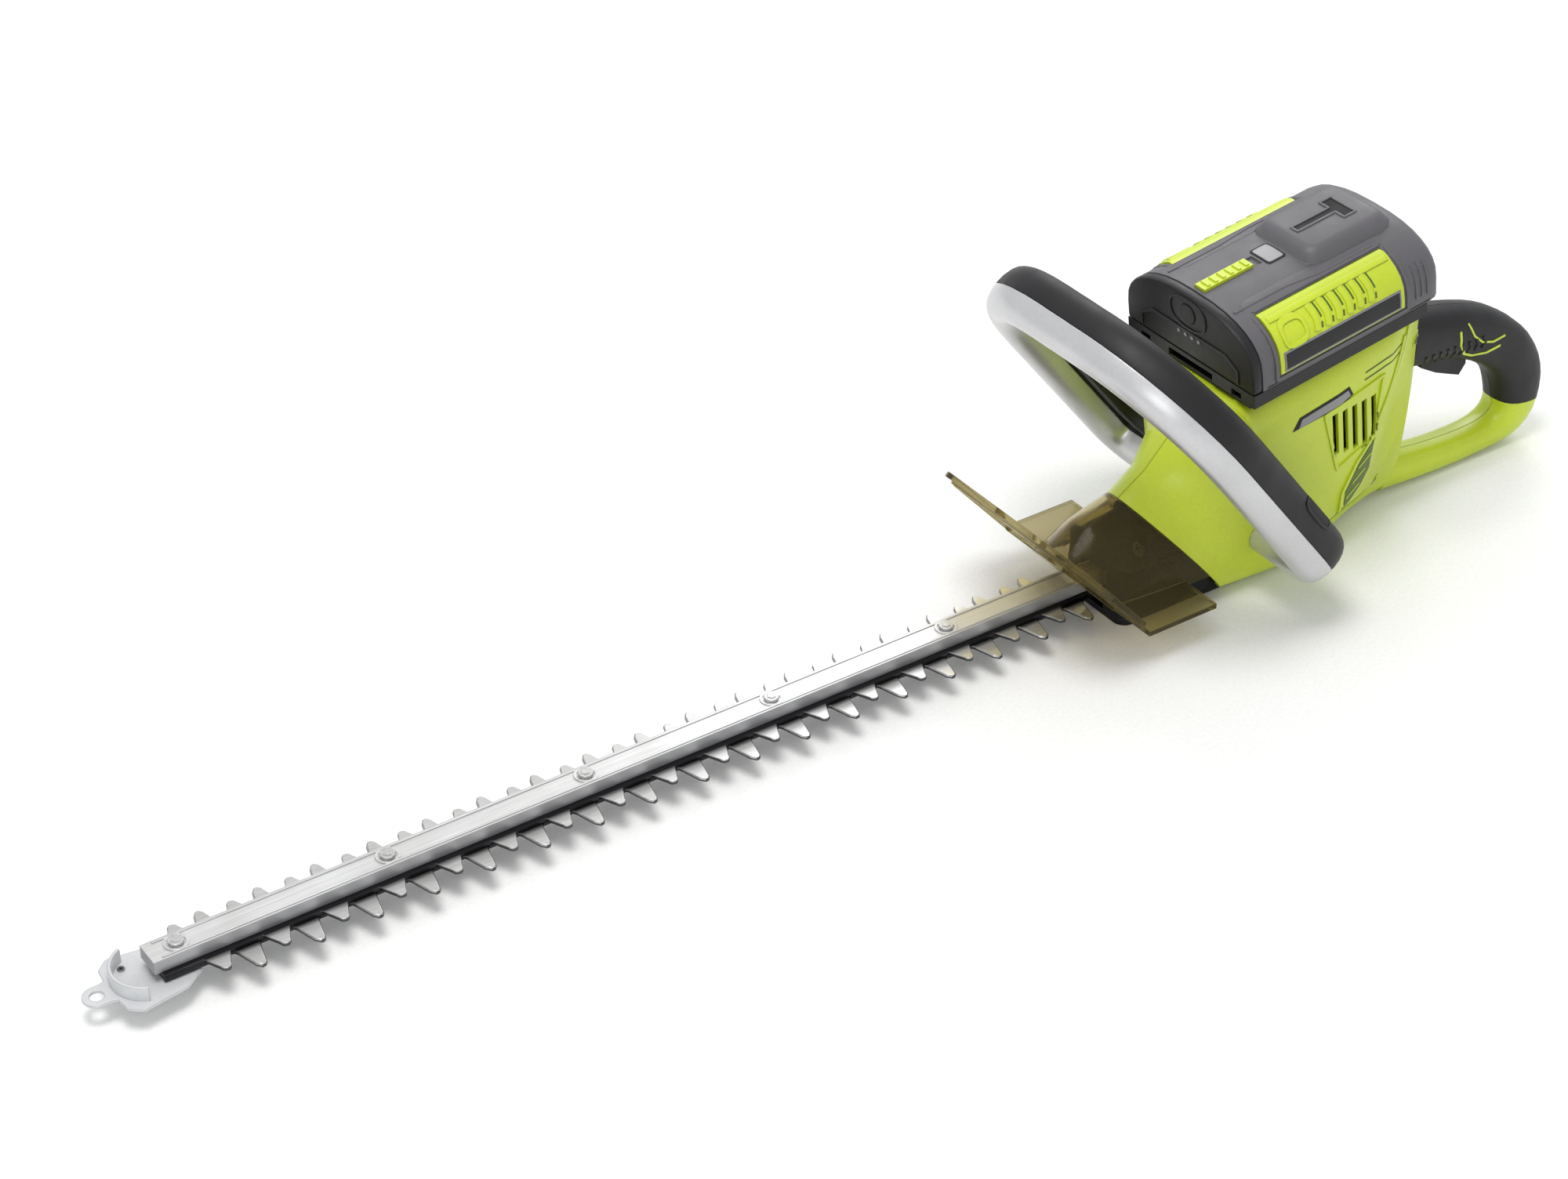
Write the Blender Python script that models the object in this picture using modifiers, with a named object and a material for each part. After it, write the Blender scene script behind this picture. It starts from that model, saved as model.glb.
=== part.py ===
"""Cordless hedge trimmer with two reciprocating blades, a bow handle and a slide-on battery.

Built in the blade frame: x forward from the first tooth, y to the left, z up from the
plane between the two blades.  An empty carries everything to the final frame, whose
origin is at the bottom centre of the whole tool.
"""
import math

import bmesh
import bpy
from mathutils import Matrix, Vector

# ---------------------------------------------------------------- driving dimensions (metres)
GAP = 0.0003              # clearance between pieces that touch
PART_GAP = 0.0002         # half gap at the parting plane between left and right halves

# blades
PITCH = 0.035             # tooth spacing on one edge
TOOTH_COUNT = 17
FAR_SHIFT = 0.0100        # stagger of the right-hand teeth against the left-hand ones
BLADE_THICK = 0.0024
LONG_HALF = 0.0296        # centre line to the tip of a lower, blunt tooth
SHORT_HALF = 0.0245       # centre line to the tip of an upper, rounded tooth
SPINE_HALF = 0.0115       # half width of a blade's back between its teeth
TOOTH_ROOT = 0.0160       # tooth width at the spine
TOOTH_TIP = 0.0062        # tooth width near its tip
STROKE = 0.0085           # travel of each blade to either side of its middle
BLADE_MARGIN = 0.0130      # from the last pitch to the blades' front end at mid stroke
BLADE_END_WALL = 0.0014    # metal left in front of the last bolt's slot
SHANK_HALF = 0.0100       # half width of the toothless shank

# support bar, bolts and tip protector
BAR_HALF = 0.0085
BAR_HEIGHT = 0.0082
BAR_WALL = 0.0020
BAR_OVERHANG = 0.0040      # the bar reaches this far past the blades
BOLT_COUNT = 6
BOLT_RADIUS = 0.0025
BOLT_HEAD = 0.0045
BOLT_HEAD_HEIGHT = 0.0020
TIP_THICK = 0.0015
TIP_OVERLAP = 0.0130       # the tip protector starts this far behind the bar's end
TIP_WING = 0.0240
TIP_REACH = 0.0220
TAB_REACH = 0.0380        # end of the hanging tab, past the bar's end
TAB_HALF = 0.0080
TAB_HOLE = 0.0040
RIM_RADIUS = 0.0210
RIM_HEIGHT = 0.0085
RIM_WALL = 0.0018

# crank drive
GEAR_X = -0.0920
GEAR_TEETH = 40
GEAR_THICK = 0.0080
PINION_RADIUS = 0.0065
PINION_TEETH = 10
TOOTH_DEPTH = 0.0016
CAM_THICK = 0.0030
LINK_THICK = 0.0020
LINK_WIDTH = 0.0036
LINK_SETBACK = 0.0100     # from the cam to the rear end of the blades' shanks
CRANK_SHAFT = 0.0030
CRANK_JOURNAL = 0.0048

# gear case and motor
CASE_FRONT = -0.0240
CASE_WALL = 0.0030
CASE_TOP = 0.0400
CASE_CORNER = 0.0080
CASE_CHAMFER = 0.0180     # slope of the case's upper edge, over the gear
CASE_HEADROOM = 0.0045    # from the gear's top face to the cavity's ceiling
COVER_SCREW = 0.0035
SCREW_SEAT = 0.0015
COVER_THICK = 0.0040
REST_Z = 0.0170           # height of the blade plane above the resting surface
MOTOR_RADIUS = 0.0240
MOTOR_HEIGHT = 0.0620
MOTOR_WALL = 0.0022
ROTOR_RADIUS = 0.0150
SHAFT_RADIUS = 0.0025
FAN_RADIUS = 0.0200
FAN_HEIGHT = 0.0080
FAN_BLADES = 9

# housing
WALL = 0.0026
DECK_TILT = math.radians(8.5)
DECK_X = -0.0900          # front edge of the battery deck
DECK_Z = 0.1260           # height of that edge
HOUSE_FRONT = -0.0880     # front of the housing, measured where it crosses the blade plane
HOUSE_REAR = -0.2620
HOUSE_WAIST = 0.0040       # height at which the sides start to close towards the top
HOUSE_MID_HALF = 0.0460
DECK_HALF = 0.0560
VENT_COUNT = 5
VENT_X = -0.1690
VENT_STEP = 0.0088
VENT_HALF = 0.0022
VENT_TALL = 0.0170
VENT_Z = 0.0820

# rear handle
GRIP_HALF_TALL = 0.0185
GRIP_HALF_WIDE = 0.0170
LOWER_HALF_TALL = 0.0100
LOWER_HALF_WIDE = 0.0135
HANDLE_REAR = -0.3790     # centre line of the handle's rear end
HANDLE_END_HALF = 0.0190  # half thickness there, in the plane of the handle
GRIP_Z = 0.0880
GRIP_END = 18             # sample of the handle's path where the soft grip meets the lower bar
TRIGGER_X = -0.2900       # trigger pivot
TRIGGER_DROP = 0.0090     # the pivot is this far below the grip's centre line
TRIGGER_HALF = 0.0070
TRIGGER_PIN = 0.0017

# bow handle
BOW_LEAN = math.radians(38.7)
BOW_X = -0.1280
BOW_Z = 0.0270
BOW_HEIGHT = 0.2080
BOW_HALF = 0.0950
BOW_TOP_RADIUS = 0.0740
BOW_LOW_RADIUS = 0.0200
BOW_DEPTH = 0.0185        # half size across the plane of the loop
BOW_THICK = 0.0130        # half size in the plane of the loop
BOW_SPLIT = 0.0020        # parting line of the bow, in front of its centre plane
LEVER_DEPTH = 0.0080
LEVER_THICK = 0.0050
LEVER_BACK = 0.0070       # the lever stands this far behind the loop's centre plane
LEVER_END = 0.0500        # the lever's arms end this far from the middle, beside the housing
LEVER_PIN = 0.0022
LEVER_PIN_REACH = 0.0080

# hand guard
GUARD_LEAN = math.radians(42.0)
GUARD_X = -0.0160
GUARD_Z = 0.0050
GUARD_HALF = 0.0700
GUARD_HEIGHT = 0.0930
GUARD_THICK = 0.0035
GUARD_CORNER = 0.0200
FLANGE_REAR = -0.0640
SLEEVE_WALL = 0.0020
SLEEVE_POWER = 1.68

# battery
PACK_LENGTH = 0.1500
PACK_HALF = 0.0580
PACK_TOP = 0.0530
PACK_SHOULDER = 0.0290
PACK_ROUND = 0.0100       # rounding of the battery's rear end
PACK_WALL = 0.0025
PACK_BASE = 0.0090
CAP_LENGTH = 0.0070
PACK_GAP = 0.0008         # from the deck plate to the battery's underside
RAIL_Y = 0.0380
RAIL_WIDE = 0.0040
RAIL_LIP = 0.0035
RAIL_TALL = 0.0055
RAIL_CLEAR = 0.0006
RAIL_START = 0.0100
RAIL_LENGTH = 0.1150
TERMINAL_REAR = -0.0300
TERMINAL_HALF = 0.0180
TERMINAL_TALL = 0.0050
DECK_PLATE = 0.0030
CELL_RADIUS = 0.0091
CELL_LENGTH = 0.0650
CELL_GAP = 0.0004
CELL_COLUMNS = 5
LATCH_START = 0.0200
LATCH_LENGTH = 0.0990
LATCH_LOW = 0.0150
LATCH_HIGH = 0.0480
LATCH_PROUD = 0.0012
LATCH_WALL = 0.0030
LATCH_CLEAR = 0.0005
LATCH_TRAVEL = 0.0020
SLIDER_START = 0.0100
SLIDER_LENGTH = 0.0380
SLIDER_HALF = 0.0045
SLIDER_TRAVEL = 0.0060
SLIDER_SUNK = 0.0014
RIDGE_START = 0.0760
RIDGE_END = 0.1370
RIDGE_HALF = 0.0240
RIDGE_CORNER = 0.0080
# how far the ridge stands out round its own size, at each height over the battery's top
RIDGE_STEPS = ((0.0060, -0.0050), (0.0045, -0.0010), (0.0012, 0.0035), (-0.0012, 0.0056), (-0.0050, 0.0066))
BUTTON_RADIUS = 0.0065

# ---------------------------------------------------------------- derived places
BLADE_END = PITCH * TOOTH_COUNT + BLADE_MARGIN
BAR_FRONT = BLADE_END + BAR_OVERHANG
TIP_REAR = BAR_FRONT - TIP_OVERLAP
TIP_FRONT = BAR_FRONT + TIP_REACH
TIP_X = BAR_FRONT + TAB_REACH
CAM_RADIUS = STROKE + CRANK_JOURNAL + 0.0005
EYE_RADIUS = CAM_RADIUS + GAP
GEAR_RADIUS = CAM_RADIUS + STROKE + 0.0017
MOTOR_X = GEAR_X - GEAR_RADIUS - PINION_RADIUS - GAP
CASE_HALF = GEAR_RADIUS + 0.0035 + CASE_WALL
HOUSE_LOW_HALF = CASE_HALF + 0.0125
CASE_REAR = MOTOR_X - PINION_RADIUS - 0.0147
SHANK_REAR = GEAR_X + CAM_RADIUS + LINK_SETBACK
LINK_FRONT = SHANK_REAR + 2 * LINK_WIDTH
BAR_REAR = LINK_FRONT + STROKE + 0.0010
BLADE_FACE = GAP / 2 + BLADE_THICK
BAR_Z = BLADE_FACE + GAP
LINK_Z = BLADE_FACE + GAP
CAM_Z = LINK_Z + LINK_THICK + GAP
GEAR_Z = CAM_Z + CAM_THICK
LATCH_WELL = CELL_LENGTH / 2 + 0.0003
LATCH_INNER = LATCH_WELL + LATCH_TRAVEL + 0.0005
CASE_LOW = -REST_Z + COVER_THICK + GAP
CASE_CEILING = GEAR_Z + GEAR_THICK + CASE_HEADROOM
REAR_X = HANDLE_REAR - HANDLE_END_HALF
CENTRE_X = (TIP_X + REAR_X) / 2
DECK_SLOPE = math.tan(DECK_TILT)

COLLECTION = "hedge_trimmer"
CUTTERS = "cutters"


# ---------------------------------------------------------------- scene helpers
def clear_scene():
    for obj in list(bpy.data.objects):
        bpy.data.objects.remove(obj, do_unlink=True)
    for name in (COLLECTION, CUTTERS):
        bpy.context.scene.collection.children.link(bpy.data.collections.new(name))


def make_material(name, colour, roughness, metallic=0.0, alpha=1.0):
    material = bpy.data.materials.new(name)
    material.use_nodes = True
    shader = material.node_tree.nodes["Principled BSDF"]
    shader.inputs["Base Color"].default_value = (*colour, 1.0)
    shader.inputs["Roughness"].default_value = roughness
    shader.inputs["Metallic"].default_value = metallic
    shader.inputs["Alpha"].default_value = alpha
    return material


def make_empty(name, location, parent=None):
    empty = bpy.data.objects.new(name, None)
    empty.location = location
    empty.parent = parent
    bpy.data.collections[COLLECTION].objects.link(empty)
    return empty


def link_object(name, mesh, collection=COLLECTION):
    obj = bpy.data.objects.new(name, mesh)
    bpy.data.collections[collection].objects.link(obj)
    return obj


def as_cutter(obj):
    bpy.data.collections[COLLECTION].objects.unlink(obj)
    bpy.data.collections[CUTTERS].objects.link(obj)
    obj.parent = FRAME
    obj.hide_render = True
    obj.display_type = "WIRE"
    return obj


def finish(obj, material, parent, smooth=True):
    """Give a piece its material and its place in the tree; meshes are built in place."""
    obj.data.materials.clear()
    obj.data.materials.append(material)
    if smooth:
        obj.data.shade_smooth()
        obj.data.set_sharp_from_angle(angle=math.radians(35))
    obj.parent = parent
    origin = parent.location.copy()
    above = parent.parent
    while above is not None and above is not FRAME:
        origin += above.location
        above = above.parent
    if parent is not FRAME:
        obj.matrix_parent_inverse = Matrix.Translation(-origin)
    return obj


def boolean(obj, other, operation):
    modifier = obj.modifiers.new(operation.lower(), "BOOLEAN")
    modifier.operation = operation
    modifier.object = other
    modifier.solver = "EXACT"
    return modifier


def bevel(obj, width, segments=2, angle=40.0):
    modifier = obj.modifiers.new("bevel", "BEVEL")
    modifier.width = width
    modifier.segments = segments
    modifier.limit_method = "ANGLE"
    modifier.angle_limit = math.radians(angle)
    return modifier


# ---------------------------------------------------------------- shape helpers
def box(name, low, high):
    mesh = bpy.data.meshes.new(name)
    bm = bmesh.new()
    size = [h - l for l, h in zip(low, high)]
    middle = [(h + l) / 2 for l, h in zip(low, high)]
    bmesh.ops.create_cube(bm, size=1.0, matrix=Matrix.Translation(middle) @ Matrix.Diagonal((*size, 1.0)))
    bm.to_mesh(mesh)
    bm.free()
    return link_object(name, mesh)


def cylinder(name, radius, start, end, segments=24):
    """A round bar between two points."""
    start = Vector(start)
    end = Vector(end)
    along = end - start
    mesh = bpy.data.meshes.new(name)
    bm = bmesh.new()
    place = Matrix.Translation((start + end) / 2) @ along.to_track_quat("Z", "Y").to_matrix().to_4x4()
    bmesh.ops.create_cone(bm, cap_ends=True, segments=segments, radius1=radius, radius2=radius,
                          depth=along.length, matrix=place)
    bm.to_mesh(mesh)
    bm.free()
    return link_object(name, mesh)


def stacked_cylinders(name, discs, centre, segments=32):
    """Turned piece on a vertical axis: a stack of discs given as (radius, top) from a bottom height."""
    bottom = discs[0]
    rows = discs[1:]
    profile = [(0.0, bottom)]
    low = bottom
    for radius, top in rows:
        profile += [(radius, low), (radius, top)]
        low = top
    profile.append((0.0, low))
    mesh = bpy.data.meshes.new(name)
    bm = bmesh.new()
    rings = []
    for radius, height in profile:
        if radius == 0.0:
            rings.append([bm.verts.new((centre[0], centre[1], height))])
        else:
            rings.append([bm.verts.new((centre[0] + radius * math.cos(2 * math.pi * k / segments),
                                        centre[1] + radius * math.sin(2 * math.pi * k / segments),
                                        height)) for k in range(segments)])
    for lower, upper in zip(rings, rings[1:]):
        for k in range(segments):
            nxt = (k + 1) % segments
            if len(lower) == 1:
                bm.faces.new((lower[0], upper[nxt], upper[k]))
            elif len(upper) == 1:
                bm.faces.new((lower[k], lower[nxt], upper[0]))
            else:
                bm.faces.new((lower[k], lower[nxt], upper[nxt], upper[k]))
    bm.to_mesh(mesh)
    bm.free()
    return link_object(name, mesh)


def arc(cx, cy, radius, start, end, steps):
    """Points on an arc; angles in degrees."""
    points = []
    for k in range(steps + 1):
        angle = math.radians(start + (end - start) * k / steps)
        points.append((cx + radius * math.cos(angle), cy + radius * math.sin(angle)))
    return points


def rounded_rectangle(x0, x1, y0, y1, radius, steps=5):
    points = arc(x1 - radius, y1 - radius, radius, 0, 90, steps)
    points += arc(x0 + radius, y1 - radius, radius, 90, 180, steps)
    points += arc(x0 + radius, y0 + radius, radius, 180, 270, steps)
    points += arc(x1 - radius, y0 + radius, radius, 270, 360, steps)
    return points


def plate(name, outlines, low, high, place=None):
    """A flat plate: closed outlines in x and y, the inner ones as holes, from low to high in z."""
    curve = bpy.data.curves.new(name, "CURVE")
    curve.dimensions = "2D"
    curve.fill_mode = "BOTH"
    curve.extrude = (high - low) / 2
    for outline in outlines:
        spline = curve.splines.new("POLY")
        spline.points.add(len(outline) - 1)
        for point, (x, y) in zip(spline.points, outline):
            point.co = (x, y, 0.0, 1.0)
        spline.use_cyclic_u = True
    raw = bpy.data.objects.new(name + "_curve", curve)
    bpy.data.collections[COLLECTION].objects.link(raw)
    bpy.context.view_layer.update()
    mesh = bpy.data.meshes.new_from_object(raw.evaluated_get(bpy.context.evaluated_depsgraph_get()))
    bpy.data.objects.remove(raw)
    bm = bmesh.new()
    bm.from_mesh(mesh)
    bmesh.ops.remove_doubles(bm, verts=bm.verts, dist=1e-6)
    bmesh.ops.translate(bm, verts=bm.verts, vec=(0.0, 0.0, (low + high) / 2))
    if place is not None:
        bmesh.ops.transform(bm, verts=bm.verts, matrix=place)
    bmesh.ops.recalc_face_normals(bm, faces=bm.faces)
    bm.to_mesh(mesh)
    bm.free()
    mesh.name = name
    return link_object(name, mesh)


def loft(name, sections):
    """A closed skin through rings of equal length, with flat ends.

    The quads are split the same way every time, so a grown copy stays clear of its original.
    """
    mesh = bpy.data.meshes.new(name)
    bm = bmesh.new()
    rings = [[bm.verts.new(point) for point in section] for section in sections]
    count = len(rings[0])
    for ring, following in zip(rings, rings[1:]):
        for k in range(count):
            nxt = (k + 1) % count
            bm.faces.new((ring[k], ring[nxt], following[nxt], following[k]))
    bmesh.ops.triangulate(bm, faces=bm.faces, quad_method="FIXED")
    bm.faces.new(rings[0][::-1])
    bm.faces.new(rings[-1])
    bmesh.ops.recalc_face_normals(bm, faces=bm.faces)
    bm.to_mesh(mesh)
    bm.free()
    return link_object(name, mesh)


def smooth_through(points, steps):
    """Catmull-Rom samples through control points of any dimension."""
    samples = []
    last = len(points) - 1
    for k in range(last):
        p0 = points[max(k - 1, 0)]
        p1 = points[k]
        p2 = points[k + 1]
        p3 = points[min(k + 2, last)]
        for s in range(steps):
            t = s / steps
            samples.append(tuple(
                0.5 * (2 * b + (c - a) * t + (2 * a - 5 * b + 4 * c - d) * t * t
                       + (3 * b - a - 3 * c + d) * t ** 3)
                for a, b, c, d in zip(p0, p1, p2, p3)))
    samples.append(tuple(points[last]))
    return samples


def oval(half_a, half_b, count, power=2.4, start=0.0, end=360.0):
    """Points of a super-ellipse, as (a, b) pairs; an open range is closed by a straight line."""
    closed = end - start >= 360.0
    steps = count if closed else count - 1
    points = []
    for k in range(count):
        angle = math.radians(start + (end - start) * k / steps)
        c = math.cos(angle)
        s = math.sin(angle)
        points.append((half_a * math.copysign(abs(c) ** (2 / power), c),
                       half_b * math.copysign(abs(s) ** (2 / power), s)))
    return points


def sweep(name, path, origin, axis_p, axis_q, section, first=0, last=None, trim=0.0):
    """Sweep section(index) along a path in the plane of axis_p and axis_q.

    A section point is (across, out): across lies in the plane, square to the path,
    and out lies along the plane's normal.  first and last pick a stretch of the path,
    and trim draws back its last end.
    """
    axis_p = Vector(axis_p)
    axis_q = Vector(axis_q)
    normal = axis_p.cross(axis_q)
    final = len(path) - 1
    last = final if last is None else last
    rings = []
    for k in range(first, last + 1):
        before = path[max(k - 1, 0)]
        after = path[min(k + 1, final)]
        along = (axis_p * (after[0] - before[0]) + axis_q * (after[1] - before[1])).normalized()
        across = normal.cross(along)
        middle = Vector(origin) + axis_p * path[k][0] + axis_q * path[k][1]
        if k == last:
            middle -= along * trim
        rings.append([middle + across * a + normal * b for a, b in section(k)])
    return loft(name, rings)


# ---------------------------------------------------------------- cutting set
def tooth_outline(root, tip, reach, blunt):
    """One tooth pointing along +y from y = 0, about x = 0."""
    r = tip / 2
    flank = [(-root / 2, 0.0), (-root / 2 + 0.0012, 0.0022)]
    if blunt:
        end = [(-r, reach - 0.0016), (-r + 0.0014, reach), (r - 0.0022, reach), (r, reach - 0.0030)]
    else:
        end = arc(0.0, reach - r, r, 180, 0, 6)
    return flank + end + [(root / 2 - 0.0012, 0.0022), (root / 2, 0.0)]


def blade_outline(first, reach, blunt):
    """Spine with teeth down both edges; first is the place of the first left-hand tooth."""
    points = [(SHANK_REAR, -SHANK_HALF), (first + FAR_SHIFT - PITCH / 2, -SHANK_HALF)]
    tooth = tooth_outline(TOOTH_ROOT, TOOTH_TIP, reach - SPINE_HALF, blunt)
    for k in range(TOOTH_COUNT):
        points += [(first + FAR_SHIFT + k * PITCH + x, -SPINE_HALF - y) for x, y in tooth]
    points += [(BLADE_END, -SPINE_HALF), (BLADE_END, SPINE_HALF)]
    for k in reversed(range(TOOTH_COUNT)):
        points += [(first + k * PITCH + x, SPINE_HALF + y) for x, y in reversed(tooth)]
    points += [(first - PITCH / 2, SHANK_HALF), (SHANK_REAR, SHANK_HALF)]
    return points


def bolt_places():
    first = CASE_FRONT - 0.0140
    last = BLADE_END - BLADE_END_WALL - STROKE - BOLT_RADIUS - 2 * GAP
    return [first + (last - first) * k / (BOLT_COUNT - 1) for k in range(BOLT_COUNT)]


def slot_outline(x):
    reach = STROKE + GAP
    radius = BOLT_RADIUS + GAP
    return arc(x + reach, 0.0, radius, -90, 90, 8) + arc(x - reach, 0.0, radius, 90, 270, 8)


def build_blade(name, low, first, reach, blunt, material, parent):
    outlines = [blade_outline(first, reach, blunt)] + [slot_outline(x) for x in bolt_places()]
    obj = plate(name, outlines, low, low + BLADE_THICK)
    return finish(obj, material, parent, smooth=False)


def yoke_outline(radius):
    return arc(GEAR_X, STROKE, radius, 0, 180, 18) + arc(GEAR_X, -STROKE, radius, 180, 360, 18)


def build_link(name, low, material, parent):
    """Drive link: a bar on the blade's shank with a yoke as long across as the crank's cam swings."""
    obj = plate(name, [yoke_outline(EYE_RADIUS + LINK_WIDTH), yoke_outline(EYE_RADIUS)], low, low + LINK_THICK)
    arm = as_cutter(box(name + "_arm", (GEAR_X + EYE_RADIUS + LINK_WIDTH / 3, -SHANK_HALF, low),
                        (LINK_FRONT, SHANK_HALF, low + LINK_THICK)))
    boolean(obj, arm, "UNION")
    return finish(obj, material, parent, smooth=False)


def build_bar(material, parent):
    """Channel-shaped support bar over the blades, open below, with a bolt hole at each bolt."""
    top = BAR_Z + BAR_HEIGHT
    obj = box("support_bar", (BAR_REAR, -BAR_HALF, BAR_Z), (BAR_FRONT, BAR_HALF, top))
    inside = as_cutter(box("bar_channel", (BAR_REAR + BAR_WALL, -BAR_HALF + BAR_WALL, BAR_Z - BAR_WALL),
                           (BAR_FRONT - BAR_WALL, BAR_HALF - BAR_WALL, top - BAR_WALL)))
    boolean(obj, inside, "DIFFERENCE")
    for k, x in enumerate(bolt_places()):
        hole = as_cutter(cylinder("bar_hole_%d" % (k + 1), BOLT_RADIUS + GAP, (x, 0, BAR_Z - 0.01),
                                  (x, 0, top + 0.01), 16))
        boolean(obj, hole, "DIFFERENCE")
    return finish(obj, material, parent, smooth=False)


def build_bolts(material, parent):
    top = BAR_Z + BAR_HEIGHT
    foot = -BLADE_FACE - GAP
    for k, x in enumerate(bolt_places()):
        under = foot - (TIP_THICK + GAP if k == BOLT_COUNT - 1 else 0.0)
        obj = stacked_cylinders("blade_bolt_%d" % (k + 1),
                                (under - BOLT_HEAD_HEIGHT, (BOLT_HEAD, under), (BOLT_RADIUS, top + GAP),
                                 (BOLT_HEAD, top + GAP + BOLT_HEAD_HEIGHT)), (x, 0.0), 12)
        finish(obj, material, parent)


def build_tip_protector(material, parent):
    """Plate under the blade ends with two swept wings, a hanging tab and a raised arc rim."""
    low = -BLADE_FACE - GAP - TIP_THICK
    tab_x = TIP_X - TAB_HALF
    bolt_x = bolt_places()[-1]
    half = [(bolt_x - 0.0080, BOLT_HEAD), (bolt_x - 0.0080, SPINE_HALF), (TIP_REAR, TIP_WING - 0.0040),
            (TIP_FRONT - 0.0080, TIP_WING), (TIP_FRONT - 0.0010, TIP_WING - 0.0060),
            (TIP_FRONT, TAB_HALF + 0.0010), (TIP_FRONT + 0.0030, TAB_HALF)]
    tab = arc(tab_x, 0.0, TAB_HALF, 90, -90, 10)
    outline = half + tab + [(x, -y) for x, y in reversed(half)]
    holes = [arc(tab_x, 0.0, TAB_HOLE, 0, 360, 16)[:-1],
             arc(bolt_x, 0.0, BOLT_RADIUS + GAP, 0, 360, 16)[:-1]]
    obj = plate("tip_protector", [outline] + holes, low, low + TIP_THICK)
    centre = TIP_FRONT - RIM_RADIUS - 0.0010
    rim = arc(centre, 0.0, RIM_RADIUS, -66, 66, 16) + arc(centre, 0.0, RIM_RADIUS - RIM_WALL, 66, -66, 16)
    rim_solid = as_cutter(plate("tip_rim", [rim], low + TIP_THICK / 2, low + TIP_THICK + RIM_HEIGHT))
    boolean(obj, rim_solid, "UNION")
    return finish(obj, material, parent, smooth=False)


# ---------------------------------------------------------------- crank drive, gear case and motor
def toothed_outline(radius, teeth, x, phase=0.0):
    """Trapezoid teeth round a wheel of the given tip radius."""
    points = []
    root = radius - TOOTH_DEPTH
    for k in range(teeth):
        for r, part in ((root, -0.32), (radius, -0.14), (radius, 0.14), (root, 0.32)):
            angle = 2 * math.pi * (k + part + phase) / teeth
            points.append((x + r * math.cos(angle), r * math.sin(angle)))
    return points


def build_crank(steel, parent):
    gear = plate("crank_gear", [toothed_outline(GEAR_RADIUS, GEAR_TEETH, GEAR_X),
                                arc(GEAR_X, 0.0, CRANK_JOURNAL + GAP, 0, 360, 24)[:-1]],
                 GEAR_Z, GEAR_Z + GEAR_THICK)
    cam = as_cutter(cylinder("upper_cam_disc", CAM_RADIUS, (GEAR_X, STROKE, CAM_Z),
                             (GEAR_X, STROKE, GEAR_Z + GEAR_THICK / 2), 40))
    bore = as_cutter(cylinder("gear_bore", CRANK_JOURNAL + GAP, (GEAR_X, 0, CAM_Z - 0.01),
                              (GEAR_X, 0, GEAR_Z + GEAR_THICK + 0.01), 24))
    boolean(gear, cam, "UNION")
    boolean(gear, bore, "DIFFERENCE")
    finish(gear, steel, parent, smooth=False)
    shaft = stacked_cylinders("crank_shaft",
                              (-CAM_Z, (CRANK_SHAFT, CAM_Z), (CRANK_JOURNAL, GEAR_Z + GEAR_THICK + 0.0040)),
                              (GEAR_X, 0.0), 24)
    lower_cam = as_cutter(cylinder("lower_cam_disc", CAM_RADIUS, (GEAR_X, -STROKE, -CAM_Z - CAM_THICK),
                                   (GEAR_X, -STROKE, -CAM_Z), 40))
    join = as_cutter(cylinder("lower_cam_join", CRANK_SHAFT, (GEAR_X, 0, -CAM_Z - CAM_THICK / 2),
                              (GEAR_X, 0, -CAM_Z + 0.0005), 24))
    boolean(shaft, join, "UNION")
    boolean(shaft, lower_cam, "UNION")
    finish(shaft, steel, parent)


def case_outline(inset):
    return rounded_rectangle(CASE_REAR + inset, CASE_FRONT - inset, -CASE_HALF + inset, CASE_HALF - inset,
                             CASE_CORNER * (1 - inset / CASE_HALF), 5)


def case_solid(name, grow, low):
    """The gear case's outer form: upright walls with a sloped upper edge."""
    levels = ((0.0, low), (0.0, CASE_CEILING + CASE_WALL / 2), (CASE_CHAMFER, CASE_TOP + grow))
    return loft(name, [[Vector((x, y, z)) for x, y in case_outline(inset - grow)] for inset, z in levels])


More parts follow.
